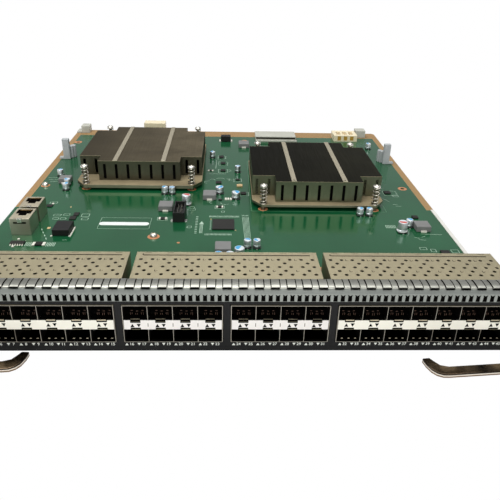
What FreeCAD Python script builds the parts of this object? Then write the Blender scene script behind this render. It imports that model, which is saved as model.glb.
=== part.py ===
import FreeCAD, Part
import Sketcher
import math
import os

# Switch line card: a wide plug-in card with 48 small pluggable ports in three stacked cages,
# two finned heat sinks, a folded front panel and two ejector levers.
# Frame: X across the card, +Y to the back, +Z up.  The origin is at the bottom edge of the
# front panel, half way along it, on the outside of its front face.

# ---------------------------------------------------------------- driving dimensions (mm)
SIZES = [
    # front panel, a C-shaped fold
    ("panel_width", 399.0), ("panel_height", 39.3), ("panel_sheet", 1.2), ("flange_depth", 17.0),
    ("window_bottom", 6.8), ("window_top", 32.1), ("window_margin", 0.25),
    ("panel_hole_inset", 9.5), ("panel_hole_level", 26.0), ("panel_hole_radius", 1.7),
    # contact strip over the top edge of the panel
    ("gasket_sheet", 0.3), ("gasket_depth", 16.4), ("gasket_leg", 4.8), ("arch_front", 5.5),
    ("arch_back", 15.2), ("arch_rise", 1.1), ("arch_shoulder", 2.6), ("comb_pitch", 4.1),
    ("comb_slot", 1.9), ("comb_rim", 0.5), ("comb_peak", 0.7), ("gasket_end", 1.5),
    # circuit board
    ("board_inset", 14.0), ("board_front", 1.7), ("board_back", 438.0), ("board_under", 4.5),
    ("board_sheet", 2.4), ("board_corner", 3.0), ("board_hole_radius", 1.7),
    ("board_hole_left_inset", 10.5), ("board_hole_left_back", 386.0),
    ("board_hole_right_inset", 14.3), ("board_hole_right_back", 247.0),
    ("rail_width", 3.0), ("rail_rise", 0.6), ("rail_length", 193.0),
    # port cages: columns of two ports, one above the other
    ("port_pitch", 14.25), ("group_gap", 4.7), ("cage_front", -0.4), ("cage_back", 64.4),
    ("cage_top", 31.9), ("cage_sheet", 0.4), ("cage_wall", 0.5), ("cage_seat", 0.3),
    ("bar_low", 15.6), ("bar_high", 21.9), ("bar_depth", 6.0), ("bar_notch", 5.8),
    ("bar_notch_deep", 1.0), ("socket_front", 44.0), ("socket_inset", 0.6),
    ("vent_radius", 1.0), ("vent_first", 34.9), ("vent_row", 4.83), ("cage_rib_set", 4.1),
    ("cage_rib_wide", 0.9), ("cage_rib_end", 4.6), ("cage_rib_deep", 0.25),
    # heat sinks: a cross-shaped fin stack on a base plate with cut corners
    ("sink_left", -83.9), ("sink_left_back", 306.8), ("sink_right", 81.3),
    ("sink_right_back", 256.8), ("sink_top", 31.5), ("sink_half", 58.8), ("sink_deep_half", 58.5),
    ("sink_step_wide", 20.2), ("sink_step_deep", 15.2), ("base_margin", 0.5), ("base_corner", 8.0),
    ("base_corner_deep", 12.0), ("base_left_lip", 12.8), ("base_right_lip", 7.0),
    ("base_left_sheet", 3.4), ("base_right_sheet", 2.4), ("fin_sheet", 0.6), ("fin_gap", 5.2),
    ("crown_sheet", 0.8), ("slot_pitch", 10.95), ("slot_width", 2.5), ("slot_low", 1.4),
    ("slot_high", 3.2), ("strap_set", 22.7), ("strap_width", 4.3), ("strap_rise", 0.6),
    ("screw_inset", 9.6), ("screw_left_lip", 5.0), ("screw_right_lip", 3.2), ("screw_radius", 1.7),
    ("screw_hole", 2.0), ("screw_head_radius", 3.4), ("screw_head", 2.2), ("screw_top", 30.6),
    ("spring_radius", 3.0), ("spring_bore", 2.2), ("chip_side", 45.0), ("chip_left_rise", 1.9),
    ("chip_right_rise", 2.8), ("pad_side", 38.0), ("pad_rise", 0.3), ("stiffener_sheet", 1.6),
    ("stiffener_edge", 7.0),
    # network jacks
    ("jack_inset", 15.3), ("jack_width", 15.6), ("jack_front", 139.0), ("jack_depth", 20.6),
    ("jack_step", 24.6), ("jack_rise", 13.9), ("jack_sheet", 0.4), ("plug_width", 11.8),
    ("plug_depth", 8.2), ("plug_deep", 11.5), ("key_width", 6.2), ("key_depth", 3.6),
    # parts soldered to the board
    ("coil_rise", 5.2), ("can_small_radius", 2.95), ("can_small_rise", 5.8),
    ("can_wide_radius", 3.85), ("can_wide_rise", 5.4), ("can_tall_radius", 3.95),
    ("can_tall_rise", 8.2), ("can_foot", 1.0), ("can_foot_margin", 0.3),
    ("chip_small_rise", 1.3), ("module_rise", 5.4), ("module_rear_rise", 6.8),
    ("header_x", -45.8), ("header_y", 165.0), ("header_width", 10.0), ("header_depth", 26.0),
    ("header_rise", 8.6), ("header_wall", 1.4), ("header_deep", 4.5),
    # connectors and blocks along the back edge
    ("rear_left", 33.2), ("rear_width", 48.8), ("rear_depth", 23.0), ("rear_set", 38.5),
    ("rear_rise", 5.8), ("power_inset", 56.9), ("power_width", 28.4), ("power_depth", 22.0),
    ("power_set", 36.5), ("power_rise", 7.6), ("power_cell", 5.0), ("power_cell_long", 12.0),
    ("power_cell_front", 5.0), ("power_cell_deep", 3.6), ("power_cell_pitch", 7.6),
    ("cream_left", -102.6), ("cream_width", 25.6), ("cream_depth", 13.0), ("cream_set", 15.0),
    ("cream_rise", 13.6), ("guide_left_inset", 6.1), ("guide_left_width", 9.8),
    ("guide_right_inset", 14.9), ("guide_right_width", 12.0), ("guide_depth", 12.5),
    ("guide_set", 14.0), ("guide_right_set", 19.0), ("guide_rise", 8.6), ("guide_wing", 5.5),
    ("guide_wing_rise", 2.2),
    # posts near the side edges of the board
    ("post_inset", 13.0), ("post_left_back", 324.0), ("post_right_back", 319.5),
    ("post_rise", 22.0), ("post_wide", 7.0), ("post_deep", 5.0), ("post_foot", 4.6),
    ("post_foot_rise", 2.3), ("post_boss_set", 5.6), ("post_boss_radius", 2.8),
    ("post_boss_rise", 13.0), ("post_web_set", 2.4),
    # ejector levers, their brackets and pins
    ("pivot_inset", 9.5), ("pivot_front", -8.0), ("lever_low", 0.6), ("lever_thick", 2.9),
    ("hub_radius", 6.4), ("arm_near", -5.6), ("arm_far", -12.3), ("arm_start", 12.0),
    ("arm_end", 66.5), ("arm_root", 64.5), ("pin_radius", 2.0), ("pin_clear", 0.05),
    ("pin_head_radius", 3.6), ("pin_head", 0.5), ("pin_top_head", 1.0), ("lug_clear", 0.1),
    ("lug_sheet", 2.0), ("lug_half", 7.0), ("lug_reach", 13.5), ("lug_plate", 9.0),
    ("lug_plate_sheet", 1.5),
    # spacers and screws between the panel's lower flange and the board
    ("stand_inner", 61.7), ("stand_outer_inset", 5.2), ("stand_back", 11.0), ("stand_radius", 2.6),
    ("stand_bore", 1.5), ("stand_screw", 1.3), ("stand_head_radius", 2.0), ("stand_head", 1.2),
]
VENT_SIDES = 4           # flat-sided vents, set corner to corner
SINK_SLOTS = 11          # slots across each end of a heat sink
SIDE_SLOTS = 2           # of these, the slots in each stepped-back side part
GROUPS = [8, 4, 4, 8]    # port columns behind each window of the panel
CAGE_OF_GROUP = ["left", "middle", "middle", "right"]
LEVER_AJAR = 5.0         # degrees the right lever stands open
HUB_ARC = range(40, 251, 30)    # degrees round the lever's hub

# the lever's hooked end, from the end of the arm: along it, then towards the panel
LEVER_HOOK = [(3.5, 0.4), (6.5, 2.2), (8.6, 5.2), (10.0, 10.2), (10.4, 15.0), (6.2, 15.2),
              (4.6, 12.0), (2.4, 8.4)]

# parts on the board: the edge they are set out from, then x from that edge and y from the front
# (corner and footprint for blocks, centre and kind for cans)
COILS = [("left", 22.8, 251.0, 11.2, 11.0), ("centre", -60.2, 187.0, 12.4, 12.6),
         ("centre", -22.5, 213.4, 12.1, 13.0), ("centre", -9.3, 107.0, 12.3, 13.6),
         ("right", -29.2, 149.0, 12.2, 12.2), ("centre", 12.6, 371.0, 12.0, 14.0)]
CANS = [("left", 19.5, 273.0, "small"), ("left", 33.9, 236.0, "small"), ("left", 32.6, 247.2, "small"),
        ("centre", -58.6, 229.0, "small"), ("centre", -51.8, 229.0, "small"),
        ("centre", -36.9, 203.5, "tall"), ("centre", -16.7, 336.0, "small"),
        ("centre", 10.3, 290.0, "small"), ("centre", -7.5, 231.5, "wide"),
        ("centre", 7.7, 219.0, "wide"), ("centre", 15.6, 120.0, "small"),
        ("centre", 22.8, 120.0, "small"), ("centre", 9.2, 107.0, "wide"),
        ("centre", -6.4, 98.6, "small"), ("centre", 2.0, 98.6, "small"),
        ("right", -69.5, 182.8, "small"), ("right", -61.5, 182.6, "small"),
        ("right", -41.1, 149.8, "tall"), ("right", -32.6, 159.5, "small"),
        ("right", -21.0, 374.0, "small")]
SMALL = [("left", 19.3, 122.0, 10.8, 4.8), ("left", 38.8, 120.2, 5.2, 5.2),
         ("centre", 9.0, 247.0, 5.4, 4.6), ("centre", 12.4, 227.0, 5.0, 5.0),
         ("centre", -11.4, 255.0, 5.4, 5.4), ("centre", -7.4, 312.5, 5.0, 5.6),
         ("centre", -7.2, 290.0, 5.0, 5.0), ("centre", -9.4, 333.0, 5.0, 6.0),
         ("right", -35.4, 232.0, 6.0, 6.0), ("right", -24.5, 175.5, 5.0, 5.0),
         ("right", -20.8, 108.0, 7.0, 7.0), ("centre", -12.5, 150.4, 18.2, 19.5)]
MODULE = [("left", 47.3, 137.6, 13.3, 18.0)]
REAR_MODULE = [("centre", -8.2, 394.5, 11.5, 8.0)]


class Dim:
    """A length that keeps its value together with its spreadsheet formula."""

    def __init__(self, text, value):
        self.text, self.value = text, value

    def _join(self, sign, other, result):
        text = other.text if isinstance(other, Dim) else repr(float(other))
        return Dim("(%s %s %s)" % (self.text, sign, text), result)

    def __add__(self, other):
        return self._join("+", other, self.value + number(other))

    def __sub__(self, other):
        return self._join("-", other, self.value - number(other))

    def __mul__(self, other):
        return self._join("*", other, self.value * number(other))

    def __truediv__(self, other):
        return self._join("/", other, self.value / number(other))

    def __radd__(self, other):
        return as_dim(other) + self

    def __rsub__(self, other):
        return as_dim(other) - self

    __rmul__ = __mul__

    def __neg__(self):
        return self * -1


def number(value):
    return value.value if isinstance(value, Dim) else float(value)


def as_dim(value):
    return value if isinstance(value, Dim) else Dim(repr(float(value)), float(value))


doc = FreeCAD.newDocument("LineCard")
sheet = doc.addObject("Spreadsheet::Sheet", "Sheet")
for row, (alias, value) in enumerate(SIZES, start=1):
    sheet.set("A%d" % row, alias)
    sheet.set("B%d" % row, str(value))
    sheet.setAlias("B%d" % row, alias)
doc.recompute()
size = {alias: Dim("Sheet." + alias, value) for alias, value in SIZES}
NODES = []


# ---------------------------------------------------------------- helpers
def bind(obj, prop, value):
    """Set one property from a dimension and tie it to the sheet."""
    obj.setExpression(prop, as_dim(value).text)


def place(obj, x, y, z):
    for axis, value in zip("xyz", (x, y, z)):
        bind(obj, "Placement.Base." + axis, value)


def keep(obj, label):
    """Mark an object as a finished sub-part."""
    obj.Label = label
    NODES.append(obj)
    return obj


def box(x, y, z, length, width, height):
    """A block from its corner nearest to -X, -Y, -Z."""
    obj = doc.addObject("Part::Box", "Block")
    for prop, value in (("Length", length), ("Width", width), ("Height", height)):
        bind(obj, prop, value)
    place(obj, x, y, z)
    return obj


def span(x, y, z):
    """A block between three pairs of planes."""
    return box(x[0], y[0], z[0], x[1] - x[0], y[1] - y[0], z[1] - z[0])


def rod(x, y, z, radius, height):
    obj = doc.addObject("Part::Cylinder", "Rod")
    bind(obj, "Radius", radius)
    bind(obj, "Height", height)
    place(obj, x, y, z)
    return obj


def stub(x, y, z, radius, height, sides=6):
    """A short many-sided bar: small round parts of a card keep few faces."""
    obj = doc.addObject("Part::Prism", "Bar")
    obj.Polygon = sides
    bind(obj, "Circumradius", radius)
    bind(obj, "Height", height)
    place(obj, x, y, z)
    return obj


def fuse(shapes):
    obj = doc.addObject("Part::MultiFuse", "Joined")
    obj.Shapes = shapes
    obj.Refine = True
    return obj


def cut(base, tools):
    obj = doc.addObject("Part::Cut", "Cut")
    obj.Base = base
    obj.Tool = tools[0] if len(tools) == 1 else fuse(tools)
    return obj


def group(shapes):
    """Alike pieces of one kind, kept as separate solids."""
    obj = doc.addObject("Part::Compound", "Set")
    obj.Links = shapes
    return obj


def origin_plane(body, role):
    return [f for f in body.Origin.OriginFeatures if f.Role == role][0]


def new_sketch(body, role, offset=0):
    sketch = body.newObject("Sketcher::SketchObject", "Sketch")
    sketch.AttachmentSupport = [(origin_plane(body, role), "")]
    sketch.MapMode = "FlatFace"
    bind(sketch, "AttachmentOffset.Base.z", offset)
    return sketch


def outline(sketch, points):
    """A closed outline whose every corner is tied to the sheet."""
    first = sketch.GeometryCount
    spots = [FreeCAD.Vector(number(a), number(b), 0) for a, b in points]
    for i, spot in enumerate(spots):
        sketch.addGeometry(Part.LineSegment(spot, spots[(i + 1) % len(spots)]), False)
    for i in range(len(spots)):
        joint = Sketcher.Constraint("Coincident", first + i, 2, first + (i + 1) % len(spots), 1)
        sketch.addConstraint(joint)
    for i, corner in enumerate(points):
        for kind, value in zip(("DistanceX", "DistanceY"), corner):
            index = sketch.addConstraint(
                Sketcher.Constraint(kind, -1, 1, first + i, 1, number(value)))
            sketch.setExpression("Constraints[%d]" % index, as_dim(value).text)


def rectangle(sketch, x, y):
    outline(sketch, [(x[0], y[0]), (x[1], y[0]), (x[1], y[1]), (x[0], y[1])])


def round_hole(sketch, x, y, radius):
    index = sketch.addGeometry(
        Part.Circle(FreeCAD.Vector(number(x), number(y), 0), FreeCAD.Vector(0, 0, 1), number(radius)), False)
    for kind, value in (("DistanceX", x), ("DistanceY", y)):
        place_at = sketch.addConstraint(Sketcher.Constraint(kind, -1, 1, index, 3, number(value)))
        sketch.setExpression("Constraints[%d]" % place_at, as_dim(value).text)
    wide = sketch.addConstraint(Sketcher.Constraint("Radius", index, number(radius)))
    sketch.setExpression("Constraints[%d]" % wide, as_dim(radius).text)


def flat_hole(sketch, x, y, radius, sides=6):
    """A many-sided hole outline for a hidden clearance hole or a small vent."""
    turns = [2 * math.pi * k / sides for k in range(sides)]
    outline(sketch, [(x + radius * math.cos(a), y + radius * math.sin(a)) for a in turns])


def pad(body, sketch, length, midplane=False, reverse=False):
    feature = body.newObject("PartDesign::Pad", "Pad")
    feature.Profile = sketch
    bind(feature, "Length", length)
    feature.Midplane = midplane
    feature.Reversed = reverse
    return feature


def pocket(body, sketch, length, reverse=False):
    feature = body.newObject("PartDesign::Pocket", "Pocket")
    feature.Profile = sketch
    bind(feature, "Length", length)
    feature.Reversed = reverse
    return feature


def row_of(body, feature, sketch, axis, pitch, count):
    """Repeat a pocket along one axis of its sketch."""
    pattern = body.newObject("PartDesign::LinearPattern", "Row")
    pattern.Originals = [feature]
    pattern.Direction = (sketch, [axis])
    pattern.Occurrences = count
    bind(pattern, "Length", pitch * (count - 1))
    body.Tip = pattern
    return pattern


def grid_of(body, feature, sketch, steps):
    """Repeat a pocket in rows and columns: steps holds (axis, pitch, count)."""
    grid = body.newObject("PartDesign::MultiTransform", "Grid")
    grid.Originals = [feature]
    rows = []
    for axis, pitch, count in steps:
        pattern = body.newObject("PartDesign::LinearPattern", "Step")
        pattern.Direction = (sketch, [axis])
        pattern.Occurrences = count
        bind(pattern, "Length", pitch * (count - 1))
        rows.append(pattern)
    grid.Transformations = rows
    body.Tip = grid
    return grid


def new_body():
    return doc.addObject("PartDesign::Body", "Body")


s = size
board_top = s["board_under"] + s["board_sheet"]
panel_half = s["panel_width"] / 2
board_half = panel_half - s["board_inset"]


# ---------------------------------------------------------------- where the port columns stand
def group_left(index):
    """Left edge of one window's group of port columns."""
    columns = sum(GROUPS[:index]) - sum(GROUPS) // 2
    return s["port_pitch"] * columns + s["group_gap"] * (index - len(GROUPS) / 2 + 0.5)


def group_span(index):
    left = group_left(index)
    return left, left + s["port_pitch"] * GROUPS[index]


# ---------------------------------------------------------------- front panel
panel = new_body()
fold = new_sketch(panel, "YZ_Plane")
outline(fold, [
    (0, 0), (s["flange_depth"], 0), (s["flange_depth"], s["panel_sheet"]),
    (s["panel_sheet"], s["panel_sheet"]),
    (s["panel_sheet"], s["panel_height"] - s["panel_sheet"]),
    (s["flange_depth"], s["panel_height"] - s["panel_sheet"]),
    (s["flange_depth"], s["panel_height"]), (0, s["panel_height"])])
pad(panel, fold, s["panel_width"], midplane=True)
windows = new_sketch(panel, "XZ_Plane")
for index in range(len(GROUPS)):
    left, right = group_span(index)
    rectangle(windows, (left - s["window_margin"], right + s["window_margin"]),
              (s["window_bottom"], s["window_top"]))
for side in (-1, 1):
    round_hole(windows, (panel_half - s["panel_hole_inset"]) * side, s["panel_hole_level"],
               s["panel_hole_radius"])
panel.Tip = pocket(panel, windows, s["panel_sheet"] * 2)
keep(panel, "front_panel")

# ---------------------------------------------------------------- contact strip on the panel's top edge
gasket = new_body()
top = s["panel_height"]
rise = s["arch_rise"]
skin = s["gasket_sheet"]
curve = [(s["arch_front"], 0), (s["arch_front"] + s["arch_shoulder"], rise),
         (s["arch_back"] - s["arch_shoulder"], rise), (s["arch_back"], 0)]
profile = new_sketch(gasket, "YZ_Plane")
outline(profile,
        [(-skin, top - s["gasket_leg"]), (-skin, top + skin)]
        + [(y, top + skin + lift) for y, lift in curve]
        + [(s["gasket_depth"], top + skin), (s["gasket_depth"], top)]
        + [(y, top + lift) for y, lift in reversed(curve)]
        + [(0, top), (0, top - s["gasket_leg"])])
pad(gasket, profile, s["panel_width"] - s["gasket_end"] * 2, midplane=True)
comb_count = int(number(s["panel_width"] - s["gasket_end"] * 4) // number(s["comb_pitch"]))
first_slot = -s["comb_pitch"] * ((comb_count - 1) / 2)
slot_foot = top - s["gasket_leg"] + s["comb_rim"]
comb = new_sketch(gasket, "XZ_Plane", skin)
rectangle(comb, (first_slot - s["comb_slot"] / 2, first_slot + s["comb_slot"] / 2),
          (slot_foot, top - s["comb_peak"]))
comb_cut = pocket(gasket, comb, skin * 2)
row_of(gasket, comb_cut, comb, "H_Axis", s["comb_pitch"], comb_count)
keep(gasket, "top_gasket")

# ---------------------------------------------------------------- circuit board
board = new_body()
half, corner = board_half, s["board_corner"]
plan = new_sketch(board, "XY_Plane", s["board_under"])
outline(plan, [
    (-half, s["board_front"]), (half, s["board_front"]), (half, s["board_back"] - corner),
    (half - corner, s["board_back"]), (-half + corner, s["board_back"]),
    (-half, s["board_back"] - corner)])
SINKS = [(side, s["sink_" + side], s["sink_%s_back" % side], s["sink_deep_half"] + s["base_%s_lip" % side],
          s["base_%s_sheet" % side], s["screw_%s_lip" % side], s["chip_%s_rise" % side])
         for side in ("left", "right")]


def sink_screws(x, y, reach, lip):
    """The four screws, set in from the corners of the base plate."""
    across, along = s["sink_half"] - s["screw_inset"], reach - lip
    return [(x + across * i, y + along * j) for i in (-1, 1) for j in (-1, 1)]


STANDS = [(reach * side, s["stand_back"])
          for reach in (s["stand_inner"], half - s["stand_outer_inset"]) for side in (-1, 1)]
for name, x, y, reach, thick, lip, rise in SINKS:
    for spot in sink_screws(x, y, reach, lip):
        flat_hole(plan, spot[0], spot[1], s["screw_hole"])
for spot in STANDS:
    flat_hole(plan, spot[0], spot[1], s["stand_bore"])
round_hole(plan, s["board_hole_left_inset"] - half, s["board_hole_left_back"], s["board_hole_radius"])
round_hole(plan, half - s["board_hole_right_inset"], s["board_hole_right_back"], s["board_hole_radius"])
pad(board, plan, s["board_sheet"])
keep(board, "circuit_board")
rail = box(half - s["rail_width"], s["board_front"], board_top,
           s["rail_width"], s["rail_length"], s["rail_rise"])
keep(rail, "board_edge_strip")

# spacers and screws that tie the board to the panel's lower flange
stand_rise = s["board_under"] - s["panel_sheet"]
keep(group([cut(stub(x, y, s["panel_sheet"], s["stand_radius"], stand_rise),
                [stub(x, y, s["panel_sheet"], s["stand_bore"], stand_rise)])
            for x, y in STANDS]), "board_spacers")
keep(group([fuse([stub(x, y, s["panel_sheet"], s["stand_screw"], board_top - s["panel_sheet"]),
                  stub(x, y, board_top, s["stand_head_radius"], s["stand_head"])])
            for x, y in STANDS]), "board_screws")

# ---------------------------------------------------------------- port cages
wall = s["cage_wall"]
side_clear = wall / 2
inner_top = s["cage_top"] - s["cage_sheet"]
inner_floor = board_top + s["cage_sheet"]
inner_back = s["cage_back"] - s["cage_sheet"]
light_bars = []
separators = []
sockets = []
for cage in ("left", "middle", "right"):
    members = [i for i, owner in enumerate(CAGE_OF_GROUP) if owner == cage]
    left = group_left(members[0])
    right = group_span(members[-1])[1]
    columns = sum(GROUPS[i] for i in members)
    # perforated top sheet: vents in five rows, a rib groove near the back; between two windows
    # its front edge steps back behind the panel
    cover = new_body()
    cover_plan = new_sketch(cover, "XY_Plane", inner_top)
    step_back = s["panel_sheet"] + s["cage_seat"]
    front_edge = []
    for index in members:
        start, end = group_span(index)
        front_edge += [(start, step_back), (start, s["cage_front"]), (end, s["cage_front"]), (end, step_back)]
    outline(cover_plan, front_edge[1:-1] + [(right, s["cage_back"]), (left, s["cage_back"])])
    pad(cover, cover_plan, s["cage_sheet"])
    vent_pitch = (right - left) / (columns * 2)
    lay = (("odd", left + vent_pitch / 2, 0, 1, 3), ("even", left + vent_pitch, 1, 2, 2))
    for kind, vent_x, row, step, rows in lay:
        vents = new_sketch(cover, "XY_Plane", s["cage_top"])
        flat_hole(vents, vent_x, s["vent_first"] + s["vent_row"] * row, s["vent_radius"], VENT_SIDES)
        drill = pocket(cover, vents, s["cage_sheet"] * 2)
        grid_of(cover, drill, vents,
                [("H_Axis", vent_pitch * step, columns * 2 // step), ("V_Axis", s["vent_row"] * 2, rows)])
    rib = new_sketch(cover, "XY_Plane", s["cage_top"])
    rectangle(rib, (left + s["cage_rib_end"], right - s["cage_rib_end"]),
              (s["cage_back"] - s["cage_rib_set"] - s["cage_rib_wide"], s["cage_back"] - s["cage_rib_set"]))
    cover.Tip = pocket(cover, rib, s["cage_rib_deep"])
    keep(cover, "cage_%s_cover" % cage)

    # upright sheets: both ends, and one between neighbouring columns
    uprights = []
    for index in members:
        start = group_left(index)
        for k in range(GROUPS[index] + 1):
            middle = start + s["port_pitch"] * k
            if k == 0:
                middle = middle + side_clear
            if k == GROUPS[index]:
                middle = middle - side_clear
            uprights.append(span((middle - side_clear, middle + side_clear),
                                 (s["cage_front"], inner_back), (inner_floor, inner_top)))
            if k == GROUPS[index]:
                continue
            cell = (middle + side_clear, start + s["port_pitch"] * (k + 1)
                    - side_clear * (2 if k == GROUPS[index] - 1 else 1))
            centre = (cell[0] + cell[1]) / 2
            # the closed channel between the upper and lower port of a column
            separators.append(span(cell, (s["bar_depth"], s["socket_front"]), (s["bar_low"], s["bar_high"])))
            # white light bar at the front, notched above and below
            bar = span(cell, (s["cage_front"], s["bar_depth"]), (s["bar_low"], s["bar_high"]))
            notches = [box(centre - s["bar_notch"] / 2, s["cage_front"], low, s["bar_notch"],
                           s["bar_depth"], s["bar_notch_deep"])
                       for low in (s["bar_low"], s["bar_high"] - s["bar_notch_deep"])]
            light_bars.append(cut(bar, notches))
            # stacked socket at the back of the column
            sockets.append(span((cell[0] + s["socket_inset"], cell[1] - s["socket_inset"]),
                                (s["socket_front"], inner_back), (inner_floor, inner_top)))
    keep(group(uprights), "cage_%s_walls" % cage)
    keep(span((left, right), (inner_back, s["cage_back"]), (inner_floor, inner_top)),
         "cage_%s_rear" % cage)
    keep(span((left, right), (s["board_front"], s["cage_back"]), (board_top, inner_floor)),
         "cage_%s_floor" % cage)
keep(group(separators), "port_separators")
keep(group(light_bars), "light_bars")
keep(group(sockets), "port_sockets")

# ---------------------------------------------------------------- heat sinks
for name, x, y, reach, thick, lip, rise in SINKS:
    chip_top = board_top + rise
    base_low = chip_top + s["pad_rise"]
    base_high = base_low + thick
    base = new_body()
    base_plan = new_sketch(base, "XY_Plane", base_low)
    a, b = s["sink_half"] + s["base_margin"], reach
    c, d = a - s["base_corner"], b - s["base_corner_deep"]
    outline(base_plan, [(x - c, y - b), (x + c, y - b), (x + a, y - d), (x + a, y + d),
                        (x + c, y + b), (x - c, y + b), (x - a, y + d), (x - a, y - d)])
    spots = sink_screws(x, y, reach, lip)
    for spot in spots:
        flat_hole(base_plan, spot[0], spot[1], s["screw_hole"])
    pad(base, base_plan, thick)
    keep(base, "sink_%s_base" % name)

    # fins run across the card under one closed crown; both ends are slotted sheets
    half, deep = s["sink_half"], s["sink_deep_half"]
    waist, side_deep = half - s["sink_step_wide"], deep - s["sink_step_deep"]
    crown_low = s["sink_top"] - s["crown_sheet"]
    stack_z = (base_high, crown_low)
    pieces = [span((x - waist, x + waist), (y - deep, y + deep), (crown_low, s["sink_top"])),
              span((x - half, x + half), (y - side_deep, y + side_deep), (crown_low, s["sink_top"]))]
    fin_count = int(number(deep * 2 - s["fin_sheet"]) // number(s["fin_gap"]))
    fin_step = (deep * 2 - s["fin_sheet"]) / fin_count
    for k in range(fin_count + 1):
        offset = fin_step * k - deep
        outside = abs(number(offset) + number(s["fin_sheet"]) / 2) > number(side_deep)
        reach_x = waist if outside else half
        pieces.append(span((x - reach_x, x + reach_x), (y + offset, y + offset + s["fin_sheet"]), stack_z))
    for edge in (-side_deep, side_deep - s["fin_sheet"]):
        pieces.append(span((x - half, x + half), (y + edge, y + edge + s["fin_sheet"]), stack_z))
    slot_tools = []
    for end in (-1, 1):
        for k in range(SINK_SLOTS):
            centre = x + s["slot_pitch"] * (k - (SINK_SLOTS - 1) / 2)
            in_side = k < SIDE_SLOTS or k >= SINK_SLOTS - SIDE_SLOTS
            face = (side_deep if in_side else deep) * end
            slot_tools.append(span(
                (centre - s["slot_width"] / 2, centre + s["slot_width"] / 2),
                (y + face - s["fin_sheet"] * 1.5, y + face + s["fin_sheet"] * 1.5),
                (base_high + s["slot_low"], s["sink_top"] - s["slot_high"])))
    keep(cut(fuse(pieces), slot_tools), "sink_%s_fins" % name)
    keep(group([box(x + s["strap_set"] * side - s["strap_width"] / 2, y - deep, s["sink_top"],
                    s["strap_width"], deep * 2, s["strap_rise"]) for side in (-1, 1)]),
         "sink_%s_straps" % name)
    under = s["board_under"] - s["stiffener_sheet"]
    shank = s["screw_top"] - s["screw_head"] - under
    keep(group([fuse([stub(p, q, under, s["screw_radius"], shank),
                      stub(p, q, s["screw_top"] - s["screw_head"], s["screw_head_radius"], s["screw_head"])])
                for p, q in spots]), "sink_%s_screws" % name)
    spring_rise = s["screw_top"] - s["screw_head"] - base_high
    keep(group([cut(stub(p, q, base_high, s["spring_radius"], spring_rise),
                    [stub(p, q, base_high, s["spring_bore"], spring_rise)]) for p, q in spots]),
         "sink_%s_springs" % name)
    side = s["chip_side"]
    keep(box(x - side / 2, y - side / 2, board_top, side, side, rise), "switch_chip_%s" % name)
    side = s["pad_side"]
    keep(box(x - side / 2, y - side / 2, chip_top, side, side, s["pad_rise"]), "thermal_pad_%s" % name)
    # stiffener under the board: a frame whose corners take the screws
    plate = new_body()
    plate_plan = new_sketch(plate, "XY_Plane", under)
    for grow in (s["stiffener_edge"], -s["stiffener_edge"]):
        rectangle(plate_plan, (spots[0][0] - grow, spots[-1][0] + grow),
                  (spots[0][1] - grow, spots[-1][1] + grow))
    for spot in spots:
        flat_hole(plate_plan, spot[0], spot[1], s["screw_hole"])
    pad(plate, plate_plan, s["stiffener_sheet"])
    keep(plate, "stiffener_%s" % name)

# ---------------------------------------------------------------- network jacks, opening upwards
shells = []
inserts = []
skin = s["jack_sheet"]
for k in range(2):
    front = s["jack_front"] + s["jack_step"] * k
    jack_left = s["jack_inset"] - board_half
    inner_x = jack_left + skin
    inner_y = front + skin
    inner_width = s["jack_width"] - skin * 2
    inner_depth = s["jack_depth"] - skin * 2
    shells.append(cut(box(jack_left, front, board_top, s["jack_width"], s["jack_depth"], s["jack_rise"]),
                      [box(inner_x, inner_y, board_top + skin, inner_width, inner_depth, s["jack_rise"])]))
    middle = jack_left + s["jack_width"] / 2
    deep = s["jack_rise"] - s["plug_deep"]
    body = box(inner_x, inner_y, board_top + skin, inner_width, inner_depth, s["jack_rise"] - skin * 2)
    start = inner_y + inner_depth - s["plug_depth"] - skin * 3
    inserts.append(cut(body, [
        box(middle - s["plug_width"] / 2, start, board_top + deep, s["plug_width"], s["plug_depth"],
            s["jack_rise"]),
        box(middle - s["key_width"] / 2, start - s["key_depth"], board_top + deep, s["key_width"],
            s["key_depth"] * 2, s["jack_rise"])]))
keep(group(shells), "jack_shells")
keep(group(inserts), "jack_inserts")


# ---------------------------------------------------------------- parts soldered to the board
def from_edge(edge, x):
    """X of a place given from the board's left edge, its middle line or its right edge."""
    return x + {"left": -board_half, "centre": board_half * 0, "right": board_half}[edge]


def on_board(places, rise):
    """Blocks standing on the board."""
    return [box(from_edge(edge, x), y, board_top, wide, deep, rise) for edge, x, y, wide, deep in places]


cans, feet = [], []
for side_edge, x, y, kind in CANS:
    x = from_edge(side_edge, x)
    radius = s["can_%s_radius" % kind]
    foot = radius * 2 + s["can_foot_margin"]
    cans.append(stub(x, y, board_top + s["can_foot"], radius, s["can_%s_rise" % kind], 8))
    feet.append(box(x - foot / 2, y - foot / 2, board_top, foot, foot, s["can_foot"]))
keep(group(on_board(COILS, s["coil_rise"])), "power_inductors")
keep(group(cans), "capacitor_cans")
keep(group(feet), "capacitor_feet")
keep(group(on_board(SMALL, s["chip_small_rise"])), "small_chips")
keep(group(on_board(MODULE, s["module_rise"]) + on_board(REAR_MODULE, s["module_rear_rise"])),
     "power_modules")
edge = s["header_wall"]
keep(cut(box(s["header_x"], s["header_y"], board_top, s["header_width"], s["header_depth"], s["header_rise"]),
         [box(s["header_x"] + edge, s["header_y"] + edge, board_top + s["header_rise"] - s["header_deep"],
              s["header_width"] - edge * 2, s["header_depth"] - edge * 2, s["header_deep"])]),
     "header_socket")

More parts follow.
